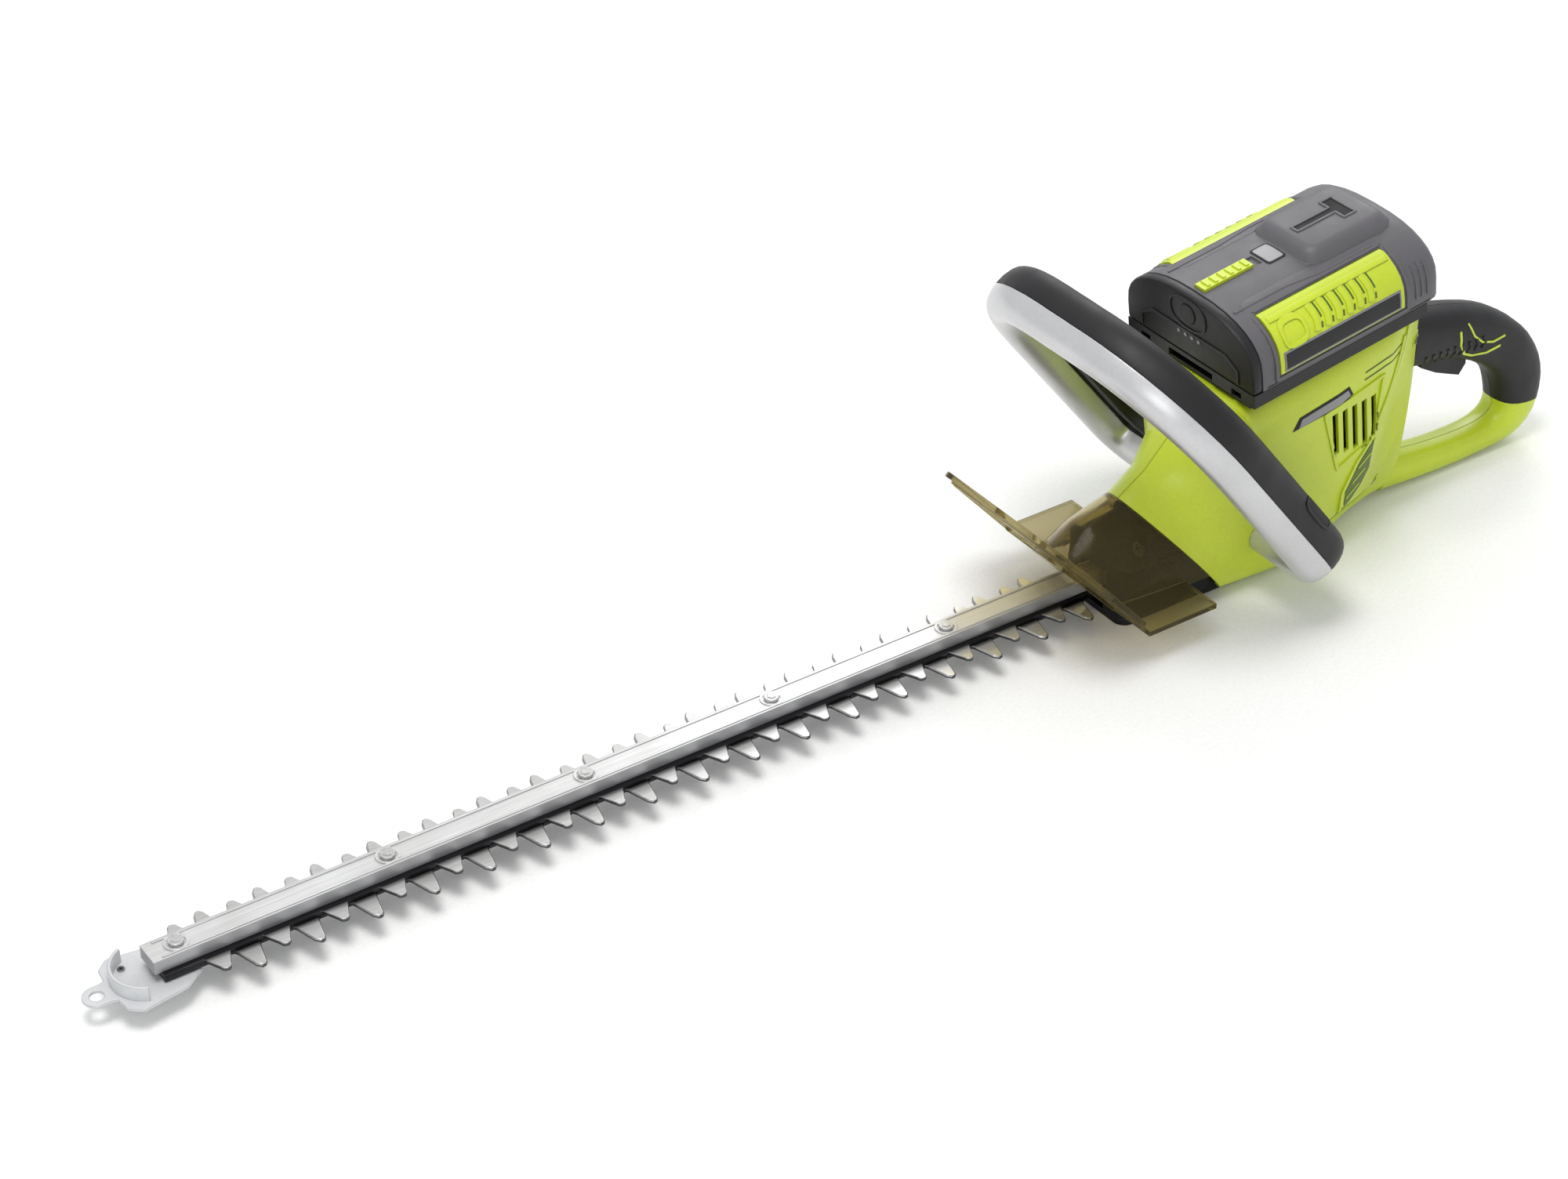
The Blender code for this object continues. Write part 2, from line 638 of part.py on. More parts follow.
def build_gear_case(cast, black, steel, parent):
    case = case_solid("gear_case", 0.0, CASE_LOW)
    inside = as_cutter(plate("case_cavity", [case_outline(CASE_WALL)], CASE_LOW - CASE_WALL, CASE_CEILING))
    mouth = as_cutter(box("case_mouth", (CASE_FRONT - CASE_WALL * 2, -SHANK_HALF - 0.0020, CASE_LOW - 0.001),
                          (CASE_FRONT + 0.01, SHANK_HALF + 0.0020, BAR_Z + BAR_HEIGHT + 0.0030)))
    hole = as_cutter(cylinder("case_shaft_hole", PINION_RADIUS + 0.0010, (MOTOR_X, 0, GEAR_Z),
                              (MOTOR_X, 0, CASE_TOP + 0.01), 24))
    for cutter in (inside, mouth, hole):
        boolean(case, cutter, "DIFFERENCE")
    finish(case, cast, parent)
    cover = plate("gear_case_cover", [case_outline(0.0)], -REST_Z, CASE_LOW - GAP)
    screw_x = (CASE_FRONT - 0.0450, CASE_REAR + 0.0100)
    screw_y = CASE_HALF - 0.0070
    for k, (x, y) in enumerate((x, y) for x in screw_x for y in (screw_y, -screw_y)):
        seat = CASE_LOW - GAP - SCREW_SEAT
        well = as_cutter(cylinder("cover_well_%d" % (k + 1), COVER_SCREW + GAP, (x, y, -REST_Z - 0.01),
                                  (x, y, seat), 16))
        boolean(cover, well, "DIFFERENCE")
        screw = cylinder("cover_screw_%d" % (k + 1), COVER_SCREW, (x, y, -REST_Z + 0.0004),
                         (x, y, seat - GAP), 16)
        finish(screw, steel, parent)
    finish(cover, black, parent)


def build_motor(steel, dark, parent, rotor_parent):
    low = CASE_TOP + GAP
    top = low + MOTOR_HEIGHT
    can = cylinder("motor_can", MOTOR_RADIUS, (MOTOR_X, 0, low), (MOTOR_X, 0, top), 40)
    inside = as_cutter(cylinder("motor_bore", MOTOR_RADIUS - MOTOR_WALL, (MOTOR_X, 0, low + MOTOR_WALL),
                                (MOTOR_X, 0, top - MOTOR_WALL), 40))
    hole = as_cutter(cylinder("motor_shaft_hole", SHAFT_RADIUS + 0.0010, (MOTOR_X, 0, low - 0.01),
                              (MOTOR_X, 0, top + 0.01), 24))
    boolean(can, inside, "DIFFERENCE")
    boolean(can, hole, "DIFFERENCE")
    finish(can, steel, parent)
    core_low = low + MOTOR_WALL + 0.0080
    core_top = top - MOTOR_WALL - 0.0080
    rotor = stacked_cylinders("motor_rotor",
                              (GEAR_Z + GEAR_THICK + 0.0010, (SHAFT_RADIUS, core_low), (ROTOR_RADIUS, core_top),
                               (SHAFT_RADIUS, top + FAN_HEIGHT + 0.0040)), (MOTOR_X, 0.0), 24)
    finish(rotor, steel, rotor_parent)
    pinion = plate("drive_pinion", [toothed_outline(PINION_RADIUS, PINION_TEETH, MOTOR_X, 0.5)],
                   GEAR_Z, GEAR_Z + GEAR_THICK + 0.0010 - GAP)
    finish(pinion, steel, rotor_parent, smooth=False)
    fan_low = top + 0.0020
    fan = cylinder("cooling_fan", SHAFT_RADIUS + GAP + 0.0030, (MOTOR_X, 0, fan_low),
                   (MOTOR_X, 0, fan_low + FAN_HEIGHT), 24)
    for k in range(FAN_BLADES):
        turn = Matrix.Translation((MOTOR_X, 0, 0)) @ Matrix.Rotation(2 * math.pi * k / FAN_BLADES, 4, "Z")
        vane = box("fan_vane_%d" % (k + 1), (SHAFT_RADIUS + 0.0010, -0.0006, fan_low + 0.0003),
                   (FAN_RADIUS, 0.0006, fan_low + FAN_HEIGHT - 0.0003))
        vane.data.transform(turn)
        boolean(fan, as_cutter(vane), "UNION")
    bore = as_cutter(cylinder("fan_bore", SHAFT_RADIUS + GAP, (MOTOR_X, 0, fan_low - 0.01),
                              (MOTOR_X, 0, fan_low + FAN_HEIGHT + 0.01), 24))
    boolean(fan, bore, "DIFFERENCE")
    finish(fan, dark, rotor_parent, smooth=False)


# ---------------------------------------------------------------- housing
def deck_height(x0, shear):
    """Height at which a leaning section meets the tilted deck plane."""
    return (DECK_Z + (DECK_X - x0) * DECK_SLOPE) / (1 + shear * DECK_SLOPE)


def housing_stations():
    """Leaning sections: x at the blade plane, lean, bottom, top, half widths, squareness of the top."""
    low_half = HOUSE_LOW_HALF
    mid_half = HOUSE_MID_HALF
    rows = [
        (HOUSE_FRONT, 0.85, -0.0165, 0.0560, low_half - 0.0020, low_half - 0.0020, low_half - 0.0020, 1.6),
        (HOUSE_FRONT - 0.0220, 0.72, -0.0168, 0.0690, low_half - 0.0010, low_half, low_half, 1.7),
        (HOUSE_FRONT - 0.0420, 0.62, -0.0170, 0.0860, low_half, mid_half - 0.0010, mid_half, 2.2),
    ]
    for back, shear, low, narrow_low, narrow_mid, narrow_top in (
            (0.0620, 0.476, -0.0170, 1.0, 1.0, 1.0), (0.1020, 0.22, -0.0160, 0.74, 0.97, 1.0),
            (0.1320, 0.06, -0.0140, 0.50, 0.78, 0.94), (0.1540, -0.02, -0.0120, 0.38, 0.52, 0.70)):
        x0 = HOUSE_FRONT - back
        rows.append((x0, shear, low, deck_height(x0, shear), low_half * narrow_low, mid_half * narrow_mid,
                     DECK_HALF * narrow_top, 9.0))
    rows.append((HOUSE_REAR, -0.05, -0.0100, GRIP_Z + 0.0290, low_half * 0.34, mid_half * 0.38,
                 DECK_HALF * 0.36, 3.0))
    return rows


def housing_ring(station, inset):
    """Full outline of one leaning section, inset all round by the given wall."""
    x0, shear, low, top, half_low, half_mid, half_top, power = station
    low += inset
    top -= inset
    wide_low = half_low - inset
    wide_mid = half_mid - inset
    wide_top = half_top - inset
    corner = min(0.0160, wide_low * 0.6)
    waist = HOUSE_WAIST + (top - HOUSE_WAIST) * 0.1
    half = [(0.0, low)] + arc(wide_low - corner, low + corner, corner, -90, 0, 5)
    for k in range(9):
        angle = math.radians(90 * k / 8)
        rise = math.sin(angle) ** (2 / power)
        fall = math.cos(angle) ** (2 / power) if k < 8 else 0.0
        half.append(((wide_mid + (wide_top - wide_mid) * rise) * fall, waist + (top - waist) * rise))
    ring = half + [(-y, z) for y, z in reversed(half[1:-1])]
    return [Vector((x0 + shear * z, y, z)) for y, z in ring]


def housing_solid(name, inset, extend=0.0):
    """The housing's outer form, inset by a wall; extend carries it out through the front."""
    stations = [list(station) for station in housing_stations()]
    if extend:
        stations.insert(0, list(stations[0]))
        stations[0][0] += extend
    stations[-1][0] += inset
    return loft(name, [housing_ring(station, inset) for station in stations])


def handle_path():
    """Centre line of the rear handle with half sizes: x, z, half tall, half wide."""
    bar_z = -REST_Z + LOWER_HALF_TALL
    points = [
        (HOUSE_REAR + 0.0060, GRIP_Z + 0.0070, GRIP_HALF_TALL + 0.0015, GRIP_HALF_WIDE),
        (HOUSE_REAR - 0.0400, GRIP_Z, GRIP_HALF_TALL, GRIP_HALF_WIDE),
        (HOUSE_REAR - 0.0760, GRIP_Z - 0.0130, GRIP_HALF_TALL, GRIP_HALF_WIDE),
        (HANDLE_REAR + 0.0125, GRIP_Z - 0.0350, GRIP_HALF_TALL, GRIP_HALF_WIDE),
        (HANDLE_REAR, GRIP_Z - 0.0610, HANDLE_END_HALF, GRIP_HALF_WIDE - 0.0010),
        (HANDLE_REAR + 0.0030, GRIP_Z - 0.0830, HANDLE_END_HALF - 0.0030, LOWER_HALF_WIDE + 0.0015),
        (HANDLE_REAR + 0.0240, bar_z + 0.0012, LOWER_HALF_TALL, LOWER_HALF_WIDE),
        (HANDLE_REAR + 0.0700, bar_z, LOWER_HALF_TALL, LOWER_HALF_WIDE),
        (HOUSE_REAR + 0.0060, bar_z + 0.0050, LOWER_HALF_TALL + 0.0020, LOWER_HALF_WIDE + 0.0010),
    ]
    return smooth_through(points, 4)


def handle_piece(name, first, last, trim=0.0):
    path = handle_path()

    def section(k):
        return oval(path[k][2], path[k][3], 20, 2.6)

    return sweep(name, path, (0, 0, 0), (1, 0, 0), (0, 0, 1), section, first, last, trim)


def half_space(name, side):
    """Everything on the far side of the parting plane, as a cutter."""
    near = side * PART_GAP
    far = -side * 0.2
    return as_cutter(box(name, (2 * REAR_X, min(near, far), -0.2), (TIP_X, max(near, far), 0.5)))


def vent_cutters(side):
    """Slanted louvre slots through the side wall."""
    cutters = []
    for k in range(VENT_COUNT):
        slot = box("vent_%d_%s" % (k + 1, "left" if side > 0 else "right"),
                   (-VENT_HALF, -0.02, -VENT_TALL - 0.0012 * k), (VENT_HALF, 0.02, VENT_TALL))
        lean = Matrix.Rotation(math.radians(14), 4, "Y")
        place = Matrix.Translation((VENT_X - VENT_STEP * k, side * HOUSE_MID_HALF, VENT_Z))
        slot.data.transform(place @ lean)
        cutters.append(as_cutter(slot))
    return cutters


def build_housing(green, parent):
    cavity = as_cutter(housing_solid("housing_cavity", WALL, 0.03))
    tunnel = as_cutter(case_solid("case_tunnel", GAP, -0.05))
    deck_cut = as_cutter(box("deck_wire_slot", (0.0, -0.012, -0.02), (0.02, 0.012, 0.02)))
    deck_cut.data.transform(deck_place() @ Matrix.Translation((-0.06, 0, 0)))
    for side, name in ((1, "housing_left"), (-1, "housing_right")):
        obj = housing_solid(name, 0.0)
        bar = as_cutter(handle_piece("lower_bar_" + name, GRIP_END, 32))
        boolean(obj, bar, "UNION")
        pin_hole = as_cutter(lever_pin("pin_hole_" + name, side, GAP))
        cutters = [cavity, tunnel, deck_cut, pin_hole, half_space("split_" + name, side)]
        for cutter in cutters + vent_cutters(side):
            boolean(obj, cutter, "DIFFERENCE")
        finish(obj, green, parent)


# ---------------------------------------------------------------- rear grip and trigger
def build_rear_grip(black, dark, steel, parent, trigger_parent):
    shell = as_cutter(housing_solid("housing_clearance", -GAP))
    pocket = as_cutter(box("trigger_pocket", (TRIGGER_X - 0.0420, -TRIGGER_HALF - GAP, GRIP_Z - 0.0450),
                           (TRIGGER_X + 0.0080, TRIGGER_HALF + GAP, GRIP_Z + 0.0060)))
    for side, name in ((1, "rear_grip_left"), (-1, "rear_grip_right")):
        obj = handle_piece(name, 0, GRIP_END, GAP)
        boolean(obj, shell, "DIFFERENCE")
        boolean(obj, pocket, "DIFFERENCE")
        boolean(obj, half_space("split_" + name, side), "DIFFERENCE")
        finish(obj, black, parent)
    outline = [(0.0060, -0.0100), (0.0050, 0.0050), (-0.0030, 0.0060), (-0.0200, -0.0010), (-0.0340, -0.0080),
               (-0.0350, -0.0200), (-0.0300, -0.0270), (-0.0200, -0.0230), (-0.0080, -0.0180)]
    pivot_z = GRIP_Z - TRIGGER_DROP
    flat = [(TRIGGER_X + x, pivot_z + z) for x, z in outline]
    stand = Matrix.Rotation(math.radians(90), 4, "X")
    trigger = plate("trigger", [flat, arc(TRIGGER_X, pivot_z, TRIGGER_PIN + GAP, 0, 360, 16)[:-1]],
                    -TRIGGER_HALF, TRIGGER_HALF, stand)
    finish(trigger, dark, trigger_parent, smooth=False)
    pin = cylinder("trigger_pin", TRIGGER_PIN, (TRIGGER_X, -TRIGGER_HALF, pivot_z),
                   (TRIGGER_X, TRIGGER_HALF, pivot_z), 16)
    finish(pin, steel, parent)


# ---------------------------------------------------------------- bow handle
BOW_P = Vector((0.0, 1.0, 0.0))
BOW_Q = Vector((math.sin(BOW_LEAN), 0.0, math.cos(BOW_LEAN)))
BOW_N = BOW_P.cross(BOW_Q)
BOW_ORIGIN = Vector((BOW_X, 0.0, BOW_Z))
LEVER_INSET = BOW_THICK + LEVER_THICK + 2 * GAP
LEVER_LOW_RADIUS = BOW_HALF - LEVER_INSET - LEVER_END - 0.0010
LEVER_PIVOT = BOW_ORIGIN + BOW_Q * LEVER_INSET - BOW_N * LEVER_BACK


def bow_path(inset, low_radius, end):
    """Loop mirrored about y = 0, from the right-hand foot over the top to the left-hand foot."""
    wide = BOW_HALF - inset
    top = BOW_HEIGHT - inset
    radius = BOW_TOP_RADIUS - inset
    half = [(0.0, top), ((wide - radius) / 2, top - 0.0004)]
    half += arc(wide - radius, top - radius, radius, 90, 0, 9)
    half += [(wide, (top - radius + inset + low_radius) / 2), (wide, inset + low_radius + 0.0040)]
    half += arc(wide - low_radius, inset + low_radius, low_radius, 0, -90, 6)
    half.append((end, inset))
    return [(-y, u) for y, u in reversed(half[1:])] + half


def bow_half(name, front):
    """Half of an oval section, on one side of the bow's parting line."""
    whole = oval(BOW_THICK, BOW_DEPTH, 24, 2.3)
    if front:
        ring = [(a, max(b, BOW_SPLIT + GAP / 2)) for a, b in whole]
    else:
        ring = [(a, min(b, BOW_SPLIT - GAP / 2)) for a, b in whole]
    path = bow_path(0.0, BOW_LOW_RADIUS, HOUSE_LOW_HALF - 0.0080)
    return sweep(name, path, BOW_ORIGIN, BOW_P, BOW_Q, lambda _: ring)


def build_bow(silver, black, dark, steel, parent, lever_parent):
    clearance = as_cutter(housing_solid("bow_clearance", -GAP))
    for name, front, material in (("bow_front", True, silver), ("bow_overmould", False, black)):
        obj = bow_half(name, front)
        boolean(obj, clearance, "DIFFERENCE")
        finish(obj, material, parent)
    ring = [(a, b - LEVER_BACK) for a, b in oval(LEVER_THICK, LEVER_DEPTH, 14, 3.0)]
    path = bow_path(LEVER_INSET, LEVER_LOW_RADIUS, LEVER_END)
    lever = sweep("bow_lever", path, BOW_ORIGIN, BOW_P, BOW_Q, lambda _: ring)
    for side, name in ((1, "lever_pin_left"), (-1, "lever_pin_right")):
        boolean(lever, as_cutter(lever_pin(name + "_bore", side, GAP)), "DIFFERENCE")
        finish(lever_pin(name, side, 0.0), steel, parent)
    finish(lever, dark, lever_parent)


def lever_pin(name, side, grow):
    """Pivot pin from the housing's side wall into the end of a lever arm."""
    start = LEVER_PIVOT + BOW_P * side * (LEVER_END - LEVER_PIN_REACH - grow)
    end = LEVER_PIVOT + BOW_P * side * (LEVER_END + LEVER_PIN_REACH + grow)
    return cylinder(name, LEVER_PIN + grow, start, end, 12)


# ---------------------------------------------------------------- hand guard
def guard_place():
    """Frame of the guard's front plate: x across the tool, y up the plate, z out of its front."""
    up = Vector((math.sin(GUARD_LEAN), 0.0, math.cos(GUARD_LEAN)))
    across = Vector((0.0, 1.0, 0.0))
    out = across.cross(up)
    place = Matrix((across, up, out)).transposed().to_4x4()
    place.translation = (GUARD_X, 0.0, GUARD_Z)
    return place


def sleeve_ring(x0, shear, low, top, half, grow, drop=0.0):
    """Leaning roof-shaped ring; drop lengthens its straight sides downwards."""
    ring = [(half + grow, low - drop)]
    for k in range(13):
        angle = math.radians(90 * k / 12)
        rise = math.sin(angle) ** (2 / SLEEVE_POWER)
        fall = math.cos(angle) ** (2 / SLEEVE_POWER) if k < 12 else 0.0
        ring.append(((half + grow) * fall, low + (top + grow - low) * rise))
    ring += [(-y, z) for y, z in reversed(ring[:-1])]
    return [Vector((x0 + shear * z, y, z)) for y, z in ring]


def build_guard(smoke, parent):
    """Front plate, the two foot flanges and the sleeve over the nose, moulded in one."""
    outline = rounded_rectangle(-GUARD_HALF, GUARD_HALF, 0.0, GUARD_HEIGHT, GUARD_CORNER, 6)
    guard = plate("hand_guard", [outline], -GUARD_THICK / 2, GUARD_THICK / 2, guard_place())
    outer = as_cutter(box("guard_flanges", (FLANGE_REAR, -GUARD_HALF, GUARD_Z),
                          (GUARD_X + 0.0045, GUARD_HALF, GUARD_Z + GUARD_THICK)))
    rows = [(GUARD_X + 0.0010, 0.90, GUARD_Z, 0.0260, HOUSE_LOW_HALF - 0.0080),
            (GUARD_X - 0.0360, 0.88, GUARD_Z, 0.0440, HOUSE_LOW_HALF - 0.0050),
            (HOUSE_FRONT + 0.0006, 0.85, GUARD_Z, 0.0540, HOUSE_LOW_HALF - 0.0035)]
    skin = as_cutter(loft("guard_sleeve", [sleeve_ring(*row, SLEEVE_WALL) for row in rows]))
    rows[0] = (GUARD_X - 0.0030, *rows[0][1:])
    rows[-1] = (HOUSE_FRONT - 0.0300, *rows[-1][1:])
    hollow = as_cutter(loft("guard_hollow", [sleeve_ring(*row, 0.0, 0.02) for row in rows]))
    window = as_cutter(box("guard_window", (GUARD_X - 0.02, -SHANK_HALF - 0.0040, -0.02),
                           (GUARD_X + 0.03, SHANK_HALF + 0.0040, BAR_Z + BAR_HEIGHT + 0.0040)))
    boolean(guard, outer, "UNION")
    boolean(guard, skin, "UNION")
    boolean(guard, hollow, "DIFFERENCE")
    boolean(guard, window, "DIFFERENCE")
    finish(guard, smoke, parent)


# ---------------------------------------------------------------- battery
def deck_place():
    """Frame of the deck: x forward along the deck from its front edge, z square to it."""
    return Matrix.Translation((DECK_X, 0.0, DECK_Z)) @ Matrix.Rotation(DECK_TILT, 4, "Y")


def pack_place():
    return deck_place() @ Matrix.Translation((-0.0020, 0.0, DECK_PLATE + GAP + PACK_GAP))


def pack_ring(along, grow, low):
    """Arched section of the battery at a distance behind its front face."""
    half = PACK_HALF + grow
    top = PACK_TOP + grow
    spring = PACK_SHOULDER * 0.75
    right = [(half, low), (half, spring)]
    for k in range(1, 9):
        angle = math.radians(90 * k / 8)
        across = half * math.cos(angle) ** 0.8 if k < 8 else 0.0
        right.append((across, spring + (top - spring) * math.sin(angle) ** 0.85))
    ring = right + [(-y, z) for y, z in reversed(right[:-1])]
    return [Vector((-along, y, z)) for y, z in ring]


def pack_solid(name, start, end, grow, low, round_end=False):
    steps = [(start, 0.0), (end, 0.0)]
    if round_end:
        steps = [(start, 0.0)]
        for degrees in (0, 30, 55, 75, 90):
            angle = math.radians(degrees)
            steps.append((end - PACK_ROUND * (1 - math.sin(angle)), -0.7 * PACK_ROUND * (1 - math.cos(angle))))
    obj = loft(name, [pack_ring(along, grow + shrink, low) for along, shrink in steps])
    obj.data.transform(pack_place())
    return obj


def pack_box(name, start, end, half_low, half_high, low, high):
    obj = box(name, (-end, half_low, low), (-start, half_high, high))
    obj.data.transform(pack_place())
    return obj


def rail_section(side, clear):
    """L-shaped rail in the deck frame, as (y, z) outline, with a lip on its outer side."""
    inner = RAIL_Y - clear
    stem = RAIL_Y + RAIL_WIDE - RAIL_LIP / 2 + clear
    lip = RAIL_Y + RAIL_WIDE + RAIL_LIP + clear
    under = RAIL_TALL * 0.5 - clear
    top = RAIL_TALL + clear
    return [(side * y, z) for y, z in ((inner, -0.001), (stem, -0.001), (stem, under), (lip, under), (lip, top),
                                       (inner, top))]


def rail_solid(name, side, clear, start, end):
    outline = rail_section(side, clear)
    rings = [[Vector((-along, y, z + DECK_PLATE + GAP / 2)) for y, z in outline] for along in (start, end)]
    obj = loft(name, rings)
    obj.data.transform(deck_place())
    return obj


def build_deck(black, parent):
    """Plate on the housing with the two rails the battery slides along, and its terminal block."""
    half = DECK_HALF - 0.0040
    deck = box("battery_deck", (-RAIL_START - RAIL_LENGTH - 0.0020, -half, GAP),
               (-0.0040, half, DECK_PLATE + GAP))
    deck.data.transform(deck_place())
    for side in (1, -1):
        rail = rail_solid("rail_%d" % side, side, 0.0, RAIL_START, RAIL_START + RAIL_LENGTH)
        boolean(deck, as_cutter(rail), "UNION")
    finish(deck, black, parent, smooth=False)
    foot = DECK_PLATE + 2 * GAP
    block = box("tool_terminal", (TERMINAL_REAR, -TERMINAL_HALF, foot),
                (-0.0120, TERMINAL_HALF, foot + TERMINAL_TALL))
    block.data.transform(deck_place())
    finish(block, black, parent, smooth=False)


def build_pack_base(dark, parent):
    base = pack_solid("battery_base", 0.0, PACK_LENGTH - PACK_ROUND - 0.0020, 0.0, 0.0)
    flat = pack_box("base_level", -0.01, PACK_LENGTH + 0.02, -2 * PACK_HALF, 2 * PACK_HALF, PACK_BASE, 0.2)
    boolean(base, as_cutter(flat), "DIFFERENCE")
    for side in (1, -1):
        channel = as_cutter(rail_solid("channel_%d" % side, side, RAIL_CLEAR, -0.02,
                                       RAIL_START + RAIL_LENGTH + 0.001))
        boolean(base, channel, "DIFFERENCE")
    bay = box("terminal_bay", (TERMINAL_REAR - 0.0020, -TERMINAL_HALF - 0.0020, -0.01),
              (0.02, TERMINAL_HALF + 0.0020, DECK_PLATE + TERMINAL_TALL + 0.0020))
    bay.data.transform(deck_place())
    boolean(base, as_cutter(bay), "DIFFERENCE")
    finish(base, dark, parent)


def build_latch(side, name, green, shell, parent):
    """Squeeze panel let into the shell's side."""
    end = LATCH_START + LATCH_LENGTH
    reach = sorted((side * LATCH_WELL, side * 2 * PACK_HALF))
    opening = pack_box(name + "_opening", LATCH_START, end, *reach, LATCH_LOW, LATCH_HIGH)
    boolean(shell, as_cutter(opening), "DIFFERENCE")
    latch = pack_solid(name, LATCH_START + LATCH_CLEAR, end - LATCH_CLEAR, LATCH_PROUD, LATCH_LOW + LATCH_CLEAR)
    core = pack_solid(name + "_core", LATCH_START - 0.01, end + 0.01, -LATCH_WALL, LATCH_LOW - 0.01)
    lid = pack_box(name + "_lid", LATCH_START - 0.01, end + 0.01, -0.1, 0.1, LATCH_HIGH - LATCH_CLEAR, 0.1)
    beyond = sorted((side * LATCH_INNER, -side * 0.1))
    other = pack_box(name + "_other", LATCH_START - 0.01, end + 0.01, *beyond, 0.0, 0.1)
    for cutter in (core, lid, other):
        boolean(latch, as_cutter(cutter), "DIFFERENCE")
    finish(latch, green, parent)


def ridge_ring(grow, height):
    """Rounded rectangle about the ridge on the battery's top, at one height."""
    corner = RIDGE_CORNER + grow
    near = RIDGE_START - grow + corner
    far = RIDGE_END + grow - corner
    side = RIDGE_HALF + grow - corner
    points = []
    for quarter, (along, across) in enumerate(((far, side), (near, side), (near, -side), (far, -side))):
        for degrees in (0, 30, 60, 90):
            angle = math.radians(90 * quarter + degrees)
            points.append(Vector((-along - corner * math.cos(angle), across + corner * math.sin(angle), height)))
    return points


def build_battery(grey, dark, green, cell_mat, parent, latch_parents, slider_parent, button_parent):
    build_pack_base(dark, parent)
    low = PACK_BASE + GAP
    shell = pack_solid("battery_shell", CAP_LENGTH + GAP, PACK_LENGTH, 0.0, low, True)
    ridge = loft("shell_ridge", [ridge_ring(grow, PACK_TOP + rise) for grow, rise in RIDGE_STEPS])
    ridge.data.transform(pack_place())
    boolean(shell, as_cutter(ridge), "UNION")
    inside = as_cutter(pack_solid("shell_cavity", CAP_LENGTH - 0.01, PACK_LENGTH - PACK_WALL - PACK_ROUND,
                                  -PACK_WALL, low - 0.01))
    boolean(shell, inside, "DIFFERENCE")
    build_latch(1, "latch_left", green, shell, latch_parents[0])
    build_latch(-1, "latch_right", green, shell, latch_parents[1])
    start = SLIDER_START
    recess = pack_box("slider_recess", start - 0.0004, start + SLIDER_LENGTH + SLIDER_TRAVEL + 0.0004,
                      -SLIDER_HALF - 0.0004, SLIDER_HALF + 0.0004, PACK_TOP - SLIDER_SUNK, PACK_TOP + 0.02)
    boolean(shell, as_cutter(recess), "DIFFERENCE")
    finish(shell, grey, parent)
    slider = pack_box("pack_slider", start, start + SLIDER_LENGTH, -SLIDER_HALF, SLIDER_HALF,
                      PACK_TOP - SLIDER_SUNK + GAP, PACK_TOP + 0.0016)
    finish(slider, green, slider_parent, smooth=False)
    cap = pack_solid("battery_cap", 0.0, CAP_LENGTH, 0.0, low)
    bevel(cap, 0.0015, 2, 50)
    hollow = as_cutter(pack_solid("cap_cavity", PACK_WALL, CAP_LENGTH + 0.01, -PACK_WALL, low - 0.01))
    button_z = PACK_TOP - 0.0130
    hole = pack_tube("button_hole", BUTTON_RADIUS + GAP, -0.01, 0.01, button_z)
    boolean(cap, hollow, "DIFFERENCE")
    boolean(cap, as_cutter(hole), "DIFFERENCE")
    finish(cap, dark, parent)
    finish(pack_tube("charge_button", BUTTON_RADIUS, -0.0006, 0.0050, button_z), dark, button_parent)
    build_cells(cell_mat, parent)


def pack_tube(name, radius, start, end, height):
    obj = cylinder(name, radius, (-start, 0, height), (-end, 0, height), 24)
    obj.data.transform(pack_place())
    return obj


def build_cells(material, parent):
    step = 2 * CELL_RADIUS + CELL_GAP
    first = CAP_LENGTH + 0.0080 + CELL_RADIUS
    floor = PACK_BASE + GAP + 0.0008 + CELL_RADIUS
    for row in range(2):
        for column in range(CELL_COLUMNS):
            along = first + column * step
            height = floor + row * step
            cell = cylinder("cell_%02d" % (row * CELL_COLUMNS + column + 1), CELL_RADIUS,
                            (-along, -CELL_LENGTH / 2, height), (-along, CELL_LENGTH / 2, height), 16)
            cell.data.transform(pack_place())
            finish(cell, material, parent)


# ---------------------------------------------------------------- electrics
def build_electrics(board_mat, dark, parent):
    board = box("control_board", (HOUSE_REAR + 0.0300, -0.0008, 0.0100), (HOUSE_REAR + 0.0900, 0.0008, 0.0950))
    finish(board, board_mat, parent, smooth=False)
    switch = box("lever_switch", (BOW_X + 0.0200, 0.0260, 0.0440), (BOW_X + 0.0320, 0.0340, 0.0560))
    finish(switch, dark, parent, smooth=False)


